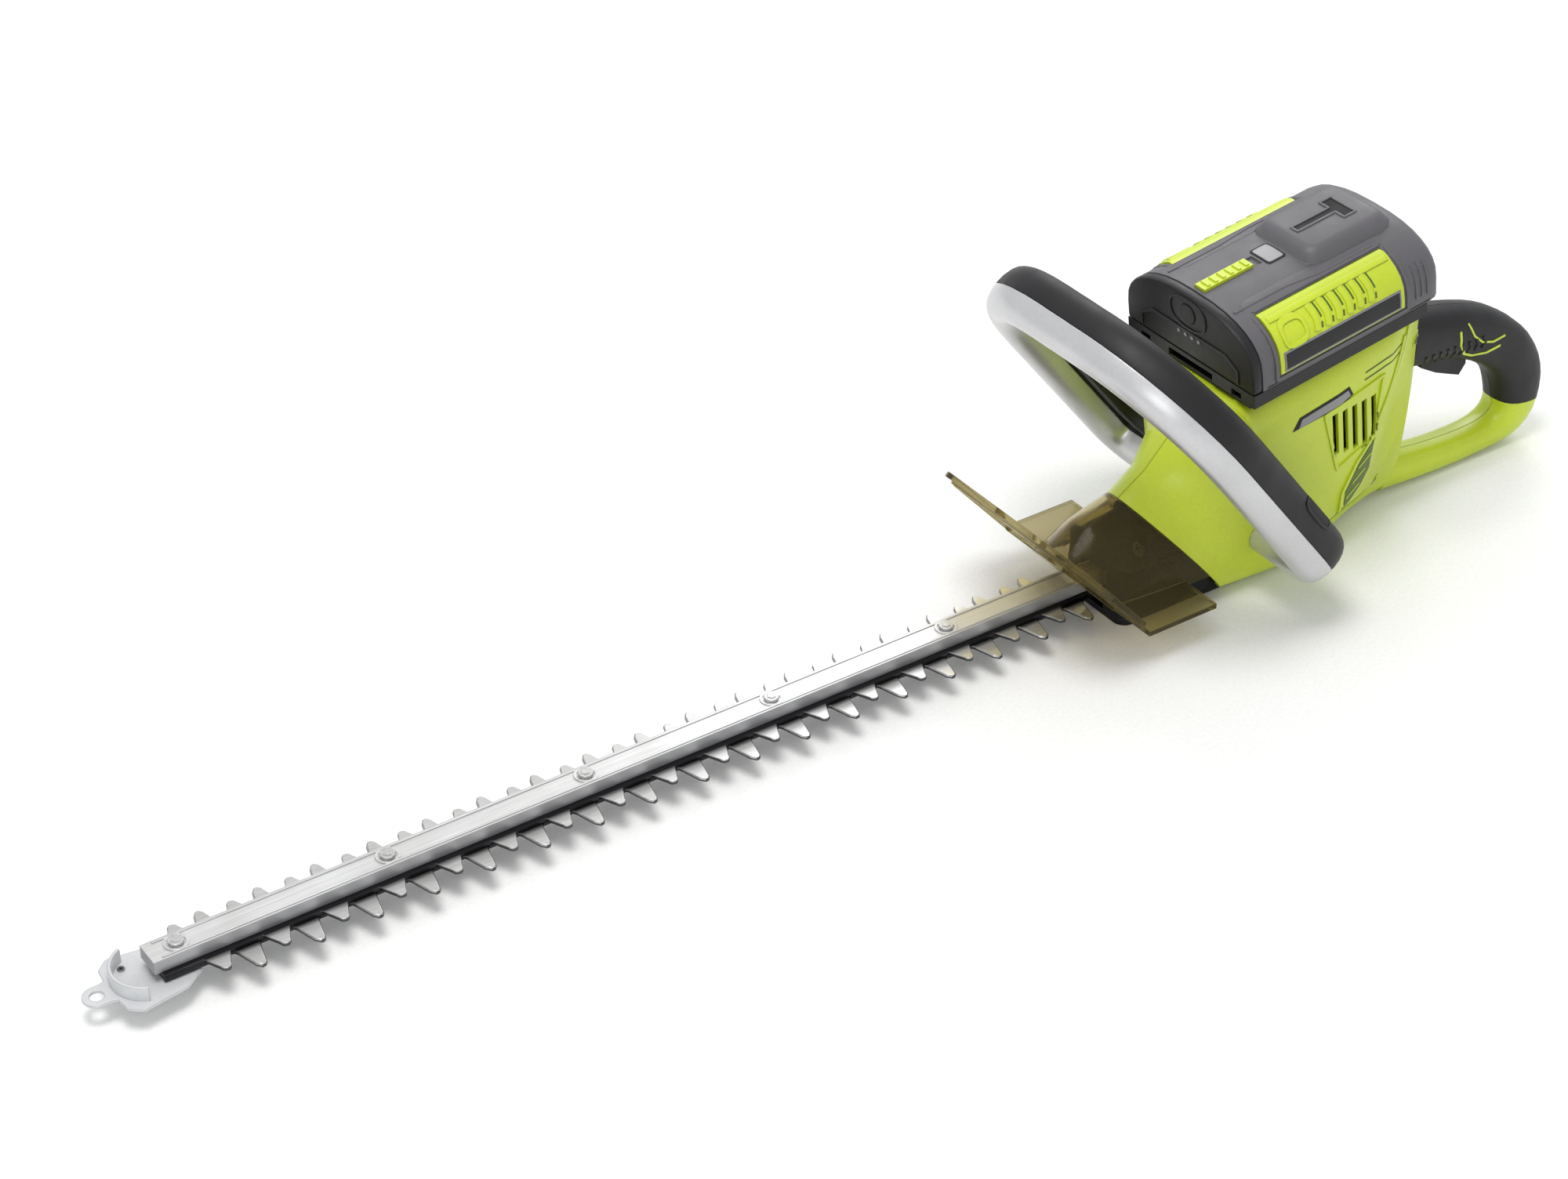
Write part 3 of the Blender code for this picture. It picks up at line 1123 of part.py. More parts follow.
# ---------------------------------------------------------------- assembly
def build():
    green = make_material("lime_plastic", (0.42, 0.60, 0.03), 0.40)
    black = make_material("black_rubber", (0.03, 0.03, 0.032), 0.75)
    dark = make_material("dark_plastic", (0.05, 0.05, 0.055), 0.50)
    silver = make_material("silver_plastic", (0.62, 0.62, 0.64), 0.35)
    smoke = make_material("smoke_plastic", (0.16, 0.13, 0.07), 0.15, 0.0, 0.7)
    grey = make_material("grey_plastic", (0.18, 0.18, 0.19), 0.45)
    steel = make_material("blade_steel", (0.62, 0.63, 0.65), 0.25, 1.0)
    cast = make_material("cast_aluminium", (0.22, 0.22, 0.23), 0.5, 0.8)
    cell_mat = make_material("cell_wrap", (0.10, 0.25, 0.55), 0.4)
    board_mat = make_material("circuit_board", (0.02, 0.22, 0.10), 0.5)

    upper = make_empty("upper_blade_slide", (0.0, 0.0, 0.0), FRAME)
    lower = make_empty("lower_blade_slide", (0.0, 0.0, 0.0), FRAME)
    crank = make_empty("crank_axis", (GEAR_X, 0.0, 0.0), FRAME)
    rotor = make_empty("rotor_axis", (MOTOR_X, 0.0, 0.0), FRAME)
    trigger = make_empty("trigger_axis", (TRIGGER_X, 0.0, GRIP_Z - TRIGGER_DROP), FRAME)
    lever = make_empty("lever_axis", tuple(LEVER_PIVOT), FRAME)
    pack = make_empty("battery_slide", (DECK_X, 0.0, DECK_Z), FRAME)
    latches = [make_empty("latch_axis_%s" % side, (0.0, 0.0, 0.0), pack) for side in ("left", "right")]
    slider = make_empty("slider_axis", (0.0, 0.0, 0.0), pack)
    button = make_empty("button_axis", (0.0, 0.0, 0.0), pack)

    build_blade("upper_blade", GAP / 2, PITCH / 2, SHORT_HALF, False, steel, upper)
    build_blade("lower_blade", -GAP / 2 - BLADE_THICK, 0.0, LONG_HALF, True, steel, lower)
    build_link("upper_link", LINK_Z, steel, upper)
    build_link("lower_link", -LINK_Z - LINK_THICK, steel, lower)
    build_bar(steel, FRAME)
    build_bolts(steel, FRAME)
    build_tip_protector(silver, FRAME)
    build_crank(steel, crank)
    build_gear_case(cast, black, steel, FRAME)
    build_motor(steel, dark, FRAME, rotor)
    build_housing(green, FRAME)
    build_rear_grip(black, dark, steel, FRAME, trigger)
    build_bow(silver, black, dark, steel, FRAME, lever)
    build_guard(smoke, FRAME)
    build_deck(dark, FRAME)
    build_battery(grey, dark, green, cell_mat, pack, latches, slider, button)
    build_electrics(board_mat, dark, FRAME)


clear_scene()
FRAME = make_empty("tool_frame", (-CENTRE_X, 0.0, REST_Z))
build()
bpy.context.view_layer.update()
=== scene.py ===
import math

import bmesh
import bpy
from mathutils import Matrix, Vector
from mathutils.bvhtree import BVHTree


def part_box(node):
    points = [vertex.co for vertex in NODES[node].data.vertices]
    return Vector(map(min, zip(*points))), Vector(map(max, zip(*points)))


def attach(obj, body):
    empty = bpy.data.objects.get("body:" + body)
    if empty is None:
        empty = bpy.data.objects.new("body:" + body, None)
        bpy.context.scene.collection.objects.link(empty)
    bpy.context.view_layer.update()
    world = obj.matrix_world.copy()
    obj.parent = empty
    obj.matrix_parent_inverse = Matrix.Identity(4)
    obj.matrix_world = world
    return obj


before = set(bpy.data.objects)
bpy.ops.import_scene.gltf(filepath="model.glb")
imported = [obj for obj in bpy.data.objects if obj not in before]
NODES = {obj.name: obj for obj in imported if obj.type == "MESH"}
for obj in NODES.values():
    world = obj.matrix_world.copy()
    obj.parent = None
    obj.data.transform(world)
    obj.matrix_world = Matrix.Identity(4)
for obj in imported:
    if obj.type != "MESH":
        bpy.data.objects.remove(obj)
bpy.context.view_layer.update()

# ---------------------------------------------------------------- places, in metres
SHIFT = Vector((-0.126, 0.0, 0.017))       # from the first tooth to the row frame
RAY_REACH = 0.2              # how far off a surface the search for it starts
SMOOTH_ANGLE = math.radians(31)
WELD = 0.000004
BLADE_BEVEL = 0.0007
SPINE_BLACK = 0.0128         # half width of the dark band along the blades' middle
PACK_TILT = math.radians(8.5)
PACK_ORIGIN = Vector((-0.092, 0.0, 0.1304)) + SHIFT
LEFT = 1
RIGHT = -1
X = Vector((1.0, 0.0, 0.0))
Y = Vector((0.0, 1.0, 0.0))
Z = Vector((0.0, 0.0, 1.0))
PACK_BACK = Vector((-math.cos(PACK_TILT), 0.0, math.sin(PACK_TILT)))
PACK_UP = Vector((math.sin(PACK_TILT), 0.0, math.cos(PACK_TILT)))
SLIDER_MIDDLE = 0.0290       # along the battery
BOW_LEAN = math.radians(38.7)
GUARD_LEAN = math.radians(42)
GUARD_FOOT = Vector((-0.016, 0.0, 0.005)) + SHIFT
BOW_UP = Vector((math.sin(BOW_LEAN), 0.0, math.cos(BOW_LEAN)))


# ---------------------------------------------------------------- materials
PLASTIC_EDGE = 0.0009        # width over which edges look rounded
METAL_EDGE = 0.0006
CLEAR_EDGE = 0.0010
SPINE_DARK_COLOR = (0.022, 0.022, 0.024)
BARE_EDGE = (0.86, 0.86, 0.85)


class Nodes:
    """Short calls for building a shader's node tree."""

    def __init__(self, name):
        self.material = bpy.data.materials.new(name)
        self.material.use_nodes = True
        self.tree = self.material.node_tree
        self.tree.nodes.clear()
        self.output = self.add("ShaderNodeOutputMaterial")
        self.shader = self.add("ShaderNodeBsdfPrincipled")
        self.join(self.shader, 0, self.output, 0)
        self.place = self.add("ShaderNodeTexCoord")

    def add(self, kind, **values):
        node = self.tree.nodes.new(kind)
        for key, value in values.items():
            setattr(node, key, value)
        return node

    def join(self, source, out, target, into):
        self.tree.links.new(source.outputs[out], target.inputs[into])

    def scaled(self, scale):
        mapping = self.add("ShaderNodeMapping")
        mapping.inputs["Scale"].default_value = scale
        self.join(self.place, "Object", mapping, "Vector")
        return mapping

    def noise(self, scale, detail=4.0, rough=0.55, stretch=(1.0, 1.0, 1.0)):
        node = self.add("ShaderNodeTexNoise")
        node.inputs["Scale"].default_value = scale
        node.inputs["Detail"].default_value = detail
        node.inputs["Roughness"].default_value = rough
        self.join(self.scaled(stretch), "Vector", node, "Vector")
        return node

    def ramp(self, source, out, low, high, first, last):
        node = self.add("ShaderNodeValToRGB")
        node.color_ramp.elements[0].position = low
        node.color_ramp.elements[1].position = high
        node.color_ramp.elements[0].color = (*first, 1.0)
        node.color_ramp.elements[1].color = (*last, 1.0)
        self.join(source, out, node, "Fac")
        return node

    def mix(self, factor, first, second, blend="MIX", amount=None):
        node = self.add("ShaderNodeMix", data_type="RGBA", blend_type=blend)
        if factor is None:
            node.inputs["Factor"].default_value = amount
        else:
            self.join(factor, 0, node, "Factor")
        for value, socket in ((first, 6), (second, 7)):
            if isinstance(value, tuple):
                node.inputs[socket].default_value = (*value, 1.0)
            else:
                self.tree.links.new(value, node.inputs[socket])
        return node.outputs[2]

    def color(self, socket):
        self.tree.links.new(socket, self.shader.inputs["Base Color"])

    def gloss(self, source, out, low, high, smooth, rough):
        """Roughness that drifts between two values."""
        node = self.ramp(source, out, low, high, (smooth,) * 3, (rough,) * 3)
        self.join(node, "Color", self.shader, "Roughness")

    def relief(self, source, strength, depth, bevel):
        """Fine surface relief over softened edges."""
        bump = self.add("ShaderNodeBump")
        bump.inputs["Strength"].default_value = strength
        bump.inputs["Distance"].default_value = depth
        self.join(source, "Fac", bump, "Height")
        self.join(bevel, 0, bump, "Normal")
        self.join(bump, 0, self.shader, "Normal")

    def scaled_mask(self, mask, amount):
        """An edge mask weakened to amount."""
        soft = self.add("ShaderNodeMath", operation="MULTIPLY")
        soft.inputs[1].default_value = amount
        self.join(mask, 0, soft, 0)
        return soft

    def edge_mask(self, radius):
        """1 along outer and inner edges, 0 on open faces."""
        bevel = self.add("ShaderNodeBevel", samples=4)
        bevel.inputs["Radius"].default_value = radius
        geometry = self.add("ShaderNodeNewGeometry")
        dot = self.add("ShaderNodeVectorMath", operation="DOT_PRODUCT")
        self.join(bevel, 0, dot, 0)
        self.join(geometry, "True Normal", dot, 1)
        return bevel, self.ramp(dot, "Value", 0.72, 0.985, (1, 1, 1), (0, 0, 0))


def times(color, factor):
    return tuple(c * factor for c in color)


def plastic(name, color, rough=0.42, grain=1400.0, depth=0.00006, coat=0.0, metal=0.0, rub_and_edge_shade=0.25, light=None,
            variation=0.08, specular=0.5):
    """Moulded plastic or paint: fine grain, uneven gloss, slow colour drift and edges mixed towards an edge tone:
    rubbed edges on most, painted shade on the pale tip guard's edges.
    """
    n = Nodes(name)
    drift = n.noise(9.0, 3.0)
    edge_tone_color = light or tuple(min(1.0, c * 1.25 + 0.03) for c in color)
    brighter = tuple(min(1.0, c) for c in times(color, 1.0 + variation))
    base = n.ramp(drift, "Fac", 0.35, 0.65, times(color, 1.0 - variation), brighter)
    speck = n.ramp(n.noise(420.0, 2.0), "Fac", 0.30, 0.62, (0.93, 0.93, 0.93), (1.0, 1.0, 1.0))
    grained = n.mix(None, base.outputs["Color"], speck.outputs["Color"], "MULTIPLY", 0.7)
    bevel, edges = n.edge_mask(PLASTIC_EDGE)
    # Edges mix towards the edge tone: paler rubbed edges on most plastics, a dark painted edge shade on the pale
    # tip guard.
    rub_and_edge_shade_mask = n.add("ShaderNodeMath", operation="MULTIPLY")
    n.join(edges, 0, rub_and_edge_shade_mask, 0)
    n.join(n.ramp(n.noise(130.0, 5.0), "Fac", 0.35, 0.75, (rub_and_edge_shade * 0.5,) * 3, (rub_and_edge_shade,) * 3), 0, rub_and_edge_shade_mask, 1)
    n.color(n.mix(rub_and_edge_shade_mask, grained, edge_tone_color))
    n.gloss(n.noise(45.0, 5.0), "Fac", 0.3, 0.7, rough * 0.88, min(1.0, rough * 1.14))
    n.shader.inputs["Metallic"].default_value = metal
    n.shader.inputs["Specular IOR Level"].default_value = specular
    n.shader.inputs["Coat Weight"].default_value = coat
    n.shader.inputs["Coat Roughness"].default_value = 0.2
    n.relief(n.noise(grain, 3.0), 0.5, depth, bevel)
    return n.material


def metal(name, color, rough=0.3, brush=(30.0, 900.0, 900.0), ground_and_flank_shade=None, edge_light=0.35, spine=None,
          shine=1.0):
    """Steel or aluminium: brush lines, smudges, darker tilted faces (painted shade; on the blades also their
    grinding bevels) and a dark band along the middle.
    """
    n = Nodes(name)
    lines = n.noise(1.0, 3.0, 0.7, brush)
    stain = n.noise(22.0, 6.0)
    base = n.ramp(lines, "Fac", 0.25, 0.75, times(color, 0.72), color)
    marks = n.ramp(stain, "Fac", 0.38, 0.7, (0.84, 0.83, 0.81), (1.0, 1.0, 1.0))
    mixed = n.mix(None, base.outputs["Color"], marks.outputs["Color"], "MULTIPLY", 0.8)
    # Faces that tilt away from level take a darker colour: painted shade on the bar's side walls; on the blades
    # partly their grinding bevels, partly painted shade.
    if ground_and_flank_shade:
        geometry = n.add("ShaderNodeNewGeometry")
        split = n.add("ShaderNodeSeparateXYZ")
        n.join(geometry, "True Normal", split, 0)
        upright = n.add("ShaderNodeMath", operation="ABSOLUTE")
        n.join(split, "Z", upright, 0)
        flank_shade_mask = n.ramp(upright, 0, 0.55, 0.97, (1, 1, 1), (0, 0, 0))
        mixed = n.mix(flank_shade_mask, mixed, ground_and_flank_shade)
    # A dark band along the blades' middle, under the bar, set by distance from the centre line.
    if spine:
        split = n.add("ShaderNodeSeparateXYZ")
        n.join(n.place, "Object", split, 0)
        aside = n.add("ShaderNodeMath", operation="ABSOLUTE")
        n.join(split, "Y", aside, 0)
        near = n.ramp(aside, 0, spine - 0.0008, spine + 0.0008, (1, 1, 1), (0, 0, 0))
        mixed = n.mix(near, mixed, SPINE_DARK_COLOR)
    bevel, edges = n.edge_mask(METAL_EDGE)
    n.color(n.mix(n.scaled_mask(edges, edge_light), mixed, BARE_EDGE))
    n.shader.inputs["Metallic"].default_value = shine
    n.gloss(lines, "Fac", 0.2, 0.8, rough * 0.8, rough * 1.3)
    n.relief(lines, 0.35, 0.00004, bevel)
    return n.material


def smoked(name, color):
    """Smoked clear plastic: tinted transmission with fine scuffs in its gloss."""
    n = Nodes(name)
    tint = n.ramp(n.noise(14.0, 3.0), "Fac", 0.3, 0.7, times(color, 0.92), color)
    bevel, edges = n.edge_mask(CLEAR_EDGE)
    n.color(n.mix(n.scaled_mask(edges, 0.55), tint.outputs["Color"], times(color, 0.45)))
    clear = n.ramp(edges, 0, 0.0, 1.0, (0.93,) * 3, (0.50,) * 3)
    n.join(clear, "Color", n.shader, "Transmission Weight")
    n.shader.inputs["IOR"].default_value = 1.15
    n.gloss(n.noise(240.0, 6.0, 0.7, (1.0, 0.15, 1.0)), "Fac", 0.35, 0.75, 0.04, 0.13)
    n.relief(n.noise(300.0, 4.0), 0.15, 0.00003, bevel)
    return n.material


def wrapped(name, color, stripe):
    """Printed wrap or board: bands of a second colour over a glossy sheet."""
    n = Nodes(name)
    wave = n.add("ShaderNodeTexWave")
    wave.inputs["Scale"].default_value = 45.0
    wave.inputs["Distortion"].default_value = 2.5
    n.join(n.place, "Object", wave, "Vector")
    n.color(n.ramp(wave, "Fac", 0.72, 0.80, color, stripe).outputs["Color"])
    n.gloss(n.noise(80.0), "Fac", 0.3, 0.7, 0.28, 0.5)
    return n.material


LIME = plastic("lime_body", (0.50, 0.61, 0.020), 0.36, 1500.0, 0.00005, 0.12,
               light=(0.60, 0.74, 0.12), rub_and_edge_shade=0.4)
# Darker lime painted as shade in the grooves, the side scallops and the latch valleys.
LIME_SHADE = plastic("lime_shadow", (0.075, 0.125, 0.008), 0.5, 900.0, 0.00008)
BLACK = plastic("black_rubber", (0.0065, 0.0065, 0.0075), 0.52, 1900.0, 0.00012, light=(0.035, 0.035, 0.038),
                rub_and_edge_shade=0.5, variation=0.2, specular=0.38)
DARK = plastic("dark_body", (0.0065, 0.0067, 0.0075), 0.46, 1300.0, 0.00008,
               light=(0.045, 0.045, 0.048), rub_and_edge_shade=0.4, specular=0.38)
GREY = plastic("grey_shell", (0.098, 0.094, 0.102), 0.5, 1100.0, 0.00014,
               light=(0.24, 0.24, 0.25), rub_and_edge_shade=0.45)
GREY_PLATE = plastic("grey_plate", (0.20, 0.20, 0.205), 0.34, 700.0, 0.00003, 0.2)
SILVER = plastic("silver_paint", (0.56, 0.56, 0.57), 0.33, 1500.0, 0.00004, 0.2, 0.65,
                 light=(0.80, 0.80, 0.80))
# Pale tip guard: its dark edge tone is painted shade along the edges.
PALE = plastic("pale_guard", (0.60, 0.61, 0.62), 0.36, 1200.0, 0.00006, 0.1, 0.2, light=(0.12, 0.12, 0.12),
               rub_and_edge_shade=0.75)
# Near-black for hollows: painted shade in screw slots, grooves, bow slots and the frames round set-in plates; the
# pack seams are dark joints.
RECESS_SHADE_AND_SEAM = plastic("recess_shade_and_seam", (0.006, 0.006, 0.0065), 0.7, 500.0, 0.00010)
SMOKE = smoked("smoked_guard", (0.46, 0.39, 0.19))
# Blade steel: the dark colour on tilted faces is partly grinding bevels, partly painted shade; the middle band is
# dark.
STEEL = metal("blade_steel", (0.78, 0.78, 0.77), 0.32, (60.0, 1400.0, 300.0), (0.075, 0.075, 0.08),
              spine=SPINE_BLACK, edge_light=0.0, shine=0.85)
LINK = metal("link_steel", (0.55, 0.55, 0.54), 0.34, (60.0, 1400.0, 300.0))
# Bar steel: its tilted side walls take a painted shade grey, its top stays bright.
BRIGHT = metal("bright_bar", (0.88, 0.88, 0.88), 0.40, (12.0, 1100.0, 1100.0), (0.40, 0.40, 0.41), shine=0.8)
BOLT = metal("bolt_steel", (0.30, 0.30, 0.31), 0.34, (500.0, 500.0, 500.0))
PALE_BOLT = metal("bright_bolt", (0.74, 0.74, 0.74), 0.36, (500.0, 500.0, 500.0), shine=0.8)
CAST = metal("cast_case", (0.045, 0.046, 0.050), 0.5, (420.0, 420.0, 420.0), edge_light=0.12)
WRAP = wrapped("cell_sleeve", (0.05, 0.19, 0.32), (0.62, 0.64, 0.66))
BOARD = wrapped("board_green", (0.02, 0.14, 0.05), (0.55, 0.42, 0.12))

FINISH = {
    "housing": LIME, "latch": LIME, "pack_slider": LIME, "rear_grip": BLACK, "bow_overmould": BLACK,
    "bow_front": SILVER, "bow_lever": DARK, "lever_switch": DARK, "lever_pin": BOLT, "hand_guard": SMOKE,
    "battery_shell": GREY, "battery_cap": DARK, "battery_base": DARK, "battery_deck": DARK, "tool_terminal": DARK,
    "charge_button": BLACK, "trigger_pin": BOLT, "trigger": BLACK, "cooling_fan": DARK, "control_board": BOARD,
    "cell": WRAP, "upper_blade": STEEL, "lower_blade": STEEL, "support_bar": BRIGHT, "blade_bolt": PALE_BOLT,
    "tip_protector": PALE, "gear_case_cover": CAST, "gear_case": CAST, "motor_can": CAST, "motor_rotor": BOLT,
    "crank": BOLT, "drive_pinion": BOLT, "cover_screw": BOLT, "upper_link": LINK, "lower_link": LINK,
}


# ---------------------------------------------------------------- smoothing and bevels on the CAD nodes
def smoothing_group():
    """Geometry nodes that weld a node's facets and smooth all but its sharp edges."""
    group = bpy.data.node_groups.new("weld_and_smooth", "GeometryNodeTree")
    group.interface.new_socket("Geometry", in_out="INPUT", socket_type="NodeSocketGeometry")
    group.interface.new_socket("Geometry", in_out="OUTPUT", socket_type="NodeSocketGeometry")
    enter = group.nodes.new("NodeGroupInput")
    leave = group.nodes.new("NodeGroupOutput")
    weld = group.nodes.new("GeometryNodeMergeByDistance")
    weld.inputs["Distance"].default_value = WELD
    drop = group.nodes.new("GeometryNodeRemoveAttribute")
    drop.inputs["Name"].default_value = "custom_normal"
    faces = group.nodes.new("GeometryNodeSetShadeSmooth")
    edges = group.nodes.new("GeometryNodeSetShadeSmooth")
    edges.domain = "EDGE"
    edges.inputs["Shade Smooth"].default_value = False
    angle = group.nodes.new("GeometryNodeInputMeshEdgeAngle")
    sharp = group.nodes.new("FunctionNodeCompare")
    sharp.operation = "GREATER_THAN"
    sharp.inputs[1].default_value = SMOOTH_ANGLE
    links = group.links
    links.new(enter.outputs[0], weld.inputs["Geometry"])
    links.new(weld.outputs["Geometry"], drop.inputs["Geometry"])
    links.new(drop.outputs["Geometry"], faces.inputs["Geometry"])
    links.new(faces.outputs[0], edges.inputs["Geometry"])
    links.new(angle.outputs["Unsigned Angle"], sharp.inputs[0])
    links.new(sharp.outputs["Result"], edges.inputs["Selection"])
    links.new(edges.outputs[0], leave.inputs[0])
    return group


SMOOTH = smoothing_group()


def dress(obj, material):
    obj.data.materials.clear()
    obj.data.materials.append(material)
    modifier = obj.modifiers.new("smooth", "NODES")
    modifier.node_group = SMOOTH


def dress_frame():
    for name, node in NODES.items():
        matches = [key for key in FINISH if name.startswith(key)]
        dress(node, FINISH[max(matches, key=len)])
    for name in ("upper_blade", "lower_blade"):
        bevel = NODES[name].modifiers.new("ground_edges", "BEVEL")
        bevel.width = BLADE_BEVEL
        bevel.segments = 1
        bevel.limit_method = "ANGLE"
        bevel.angle_limit = math.radians(60)


# ---------------------------------------------------------------- detail pieces laid on the surfaces
def surface(*names):
    """One search tree over the named CAD nodes."""
    points = []
    faces = []
    for name in names:
        mesh = NODES[name].data
        start = len(points)
        points.extend(v.co.copy() for v in mesh.vertices)
        faces.extend([start + i for i in p.vertices] for p in mesh.polygons)
    return BVHTree.FromPolygons(points, faces)


class Side:
    """A flat sheet of (u, v) places that is pressed onto a surface along one direction."""

    def __init__(self, origin, u, v, out, *names):
        self.origin = origin
        self.u = u
        self.v = v
        self.out = out.normalized()
        self.tree = surface(*names)

    def land(self, a, b, lift):
        start = self.origin + self.u * a + self.v * b + self.out * RAY_REACH
        hit = self.tree.ray_cast(start, -self.out)[0]
        if hit is None:
            hit = self.tree.find_nearest(start - self.out * RAY_REACH)[0]
        return hit + self.out * lift


def solid(name, bm, side, lift, thick, body, material):
    """Presses a flat mesh onto its surface and gives it thickness."""
    for vert in bm.verts:
        vert.co = side.land(vert.co.x, vert.co.y, lift)
    grown = bmesh.ops.extrude_face_region(bm, geom=bm.faces[:])
    tops = [item for item in grown["geom"] if isinstance(item, bmesh.types.BMVert)]
    for vert in tops:
        vert.co += side.out * thick
    bmesh.ops.recalc_face_normals(bm, faces=bm.faces[:])
    mesh = bpy.data.meshes.new(name)
    bm.to_mesh(mesh)
    bm.free()
    obj = bpy.data.objects.new(name, mesh)
    bpy.context.scene.collection.objects.link(obj)
    dress(obj, material)
    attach(obj, body)
    return obj


def patch(name, side, outline, body, material, lift=-0.0002, thick=0.0007, cell=0.005):
    """A closed outline of (u, v) places as a thin plate that follows the surface."""
    bm = bmesh.new()
    bm.faces.new([bm.verts.new((a, b, 0.0)) for a, b in outline])
    for axis in (0, 1):
        low = min(p[axis] for p in outline)
        high = max(p[axis] for p in outline)
        for k in range(1, int((high - low) / cell) + 1):
            place = [0.0, 0.0, 0.0]
            place[axis] = low + k * cell
            normal = [0.0, 0.0, 0.0]
            normal[axis] = 1.0
            everything = bm.verts[:] + bm.edges[:] + bm.faces[:]
            bmesh.ops.bisect_plane(bm, geom=everything, plane_co=place, plane_no=normal)
    bmesh.ops.triangulate(bm, faces=bm.faces[:])
    return solid(name, bm, side, lift, thick, body, material)


def strip(name, side, path, width, body, material, lift=-0.0002, thick=0.0008, closed=False, step=0.003):
    """A narrow raised band along a path of (u, v) places."""
    dense = []
    ends = list(path) + ([path[0]] if closed else [])
    for (a, b), (c, d) in zip(ends, ends[1:]):
        count = max(1, int(math.hypot(c - a, d - b) / step))
        dense += [Vector((a + (c - a) * k / count, b + (d - b) * k / count)) for k in range(count)]
    if not closed:
        dense.append(Vector(ends[-1]))
    bm = bmesh.new()
    rows = []
    total = len(dense)
    for k, point in enumerate(dense):
        before = dense[(k - 1) % total] if closed or k else point
        after = dense[(k + 1) % total] if closed or k < total - 1 else point
        run = (after - before).normalized()
        across = Vector((-run.y, run.x)) * width / 2
        rows.append([bm.verts.new((*(point + across * s), 0.0)) for s in (-1, 0, 1)])
    pairs = list(zip(rows, rows[1:])) + ([(rows[-1], rows[0])] if closed else [])
    for first, second in pairs:
        for k in (0, 1):
            bm.faces.new((first[k], second[k], second[k + 1], first[k + 1]))
    return solid(name, bm, side, lift, thick, body, material)


def oval(a, b, half_a, half_b, count=20, power=1.0, turn=0.0):
    points = []
    for k in range(count):
        angle = 2 * math.pi * k / count
        c = math.cos(angle)
        s = math.sin(angle)
        p = math.copysign(abs(c) ** power, c) * half_a
        q = math.copysign(abs(s) ** power, s) * half_b
        points.append((a + p * math.cos(turn) - q * math.sin(turn),
                       b + p * math.sin(turn) + q * math.cos(turn)))
    return points


def screw(name, side, a, b, radius, body, boss=None):
    """A round screw head with a cross slot, on its own boss where there is one."""
    if boss:
        patch(name + "_boss", side, oval(a, b, radius * 1.7, radius * 1.7), body, boss, -0.0003, 0.0010, 0.004)
    lift = 0.0006 if boss else -0.0002
    patch(name, side, oval(a, b, radius, radius, 16), body, BOLT, lift, 0.0009, 0.01)
    # The cross slots are painted shade in the head.
    for k, (p, q) in enumerate(((1, 0), (0, 1))):
        path = [(a - p * radius * 0.6, b - q * radius * 0.6), (a + p * radius * 0.6, b + q * radius * 0.6)]
        strip("%s_slot_%d" % (name, k + 1), side, path, radius * 0.28, body, RECESS_SHADE_AND_SEAM, lift + 0.0008, 0.00025)


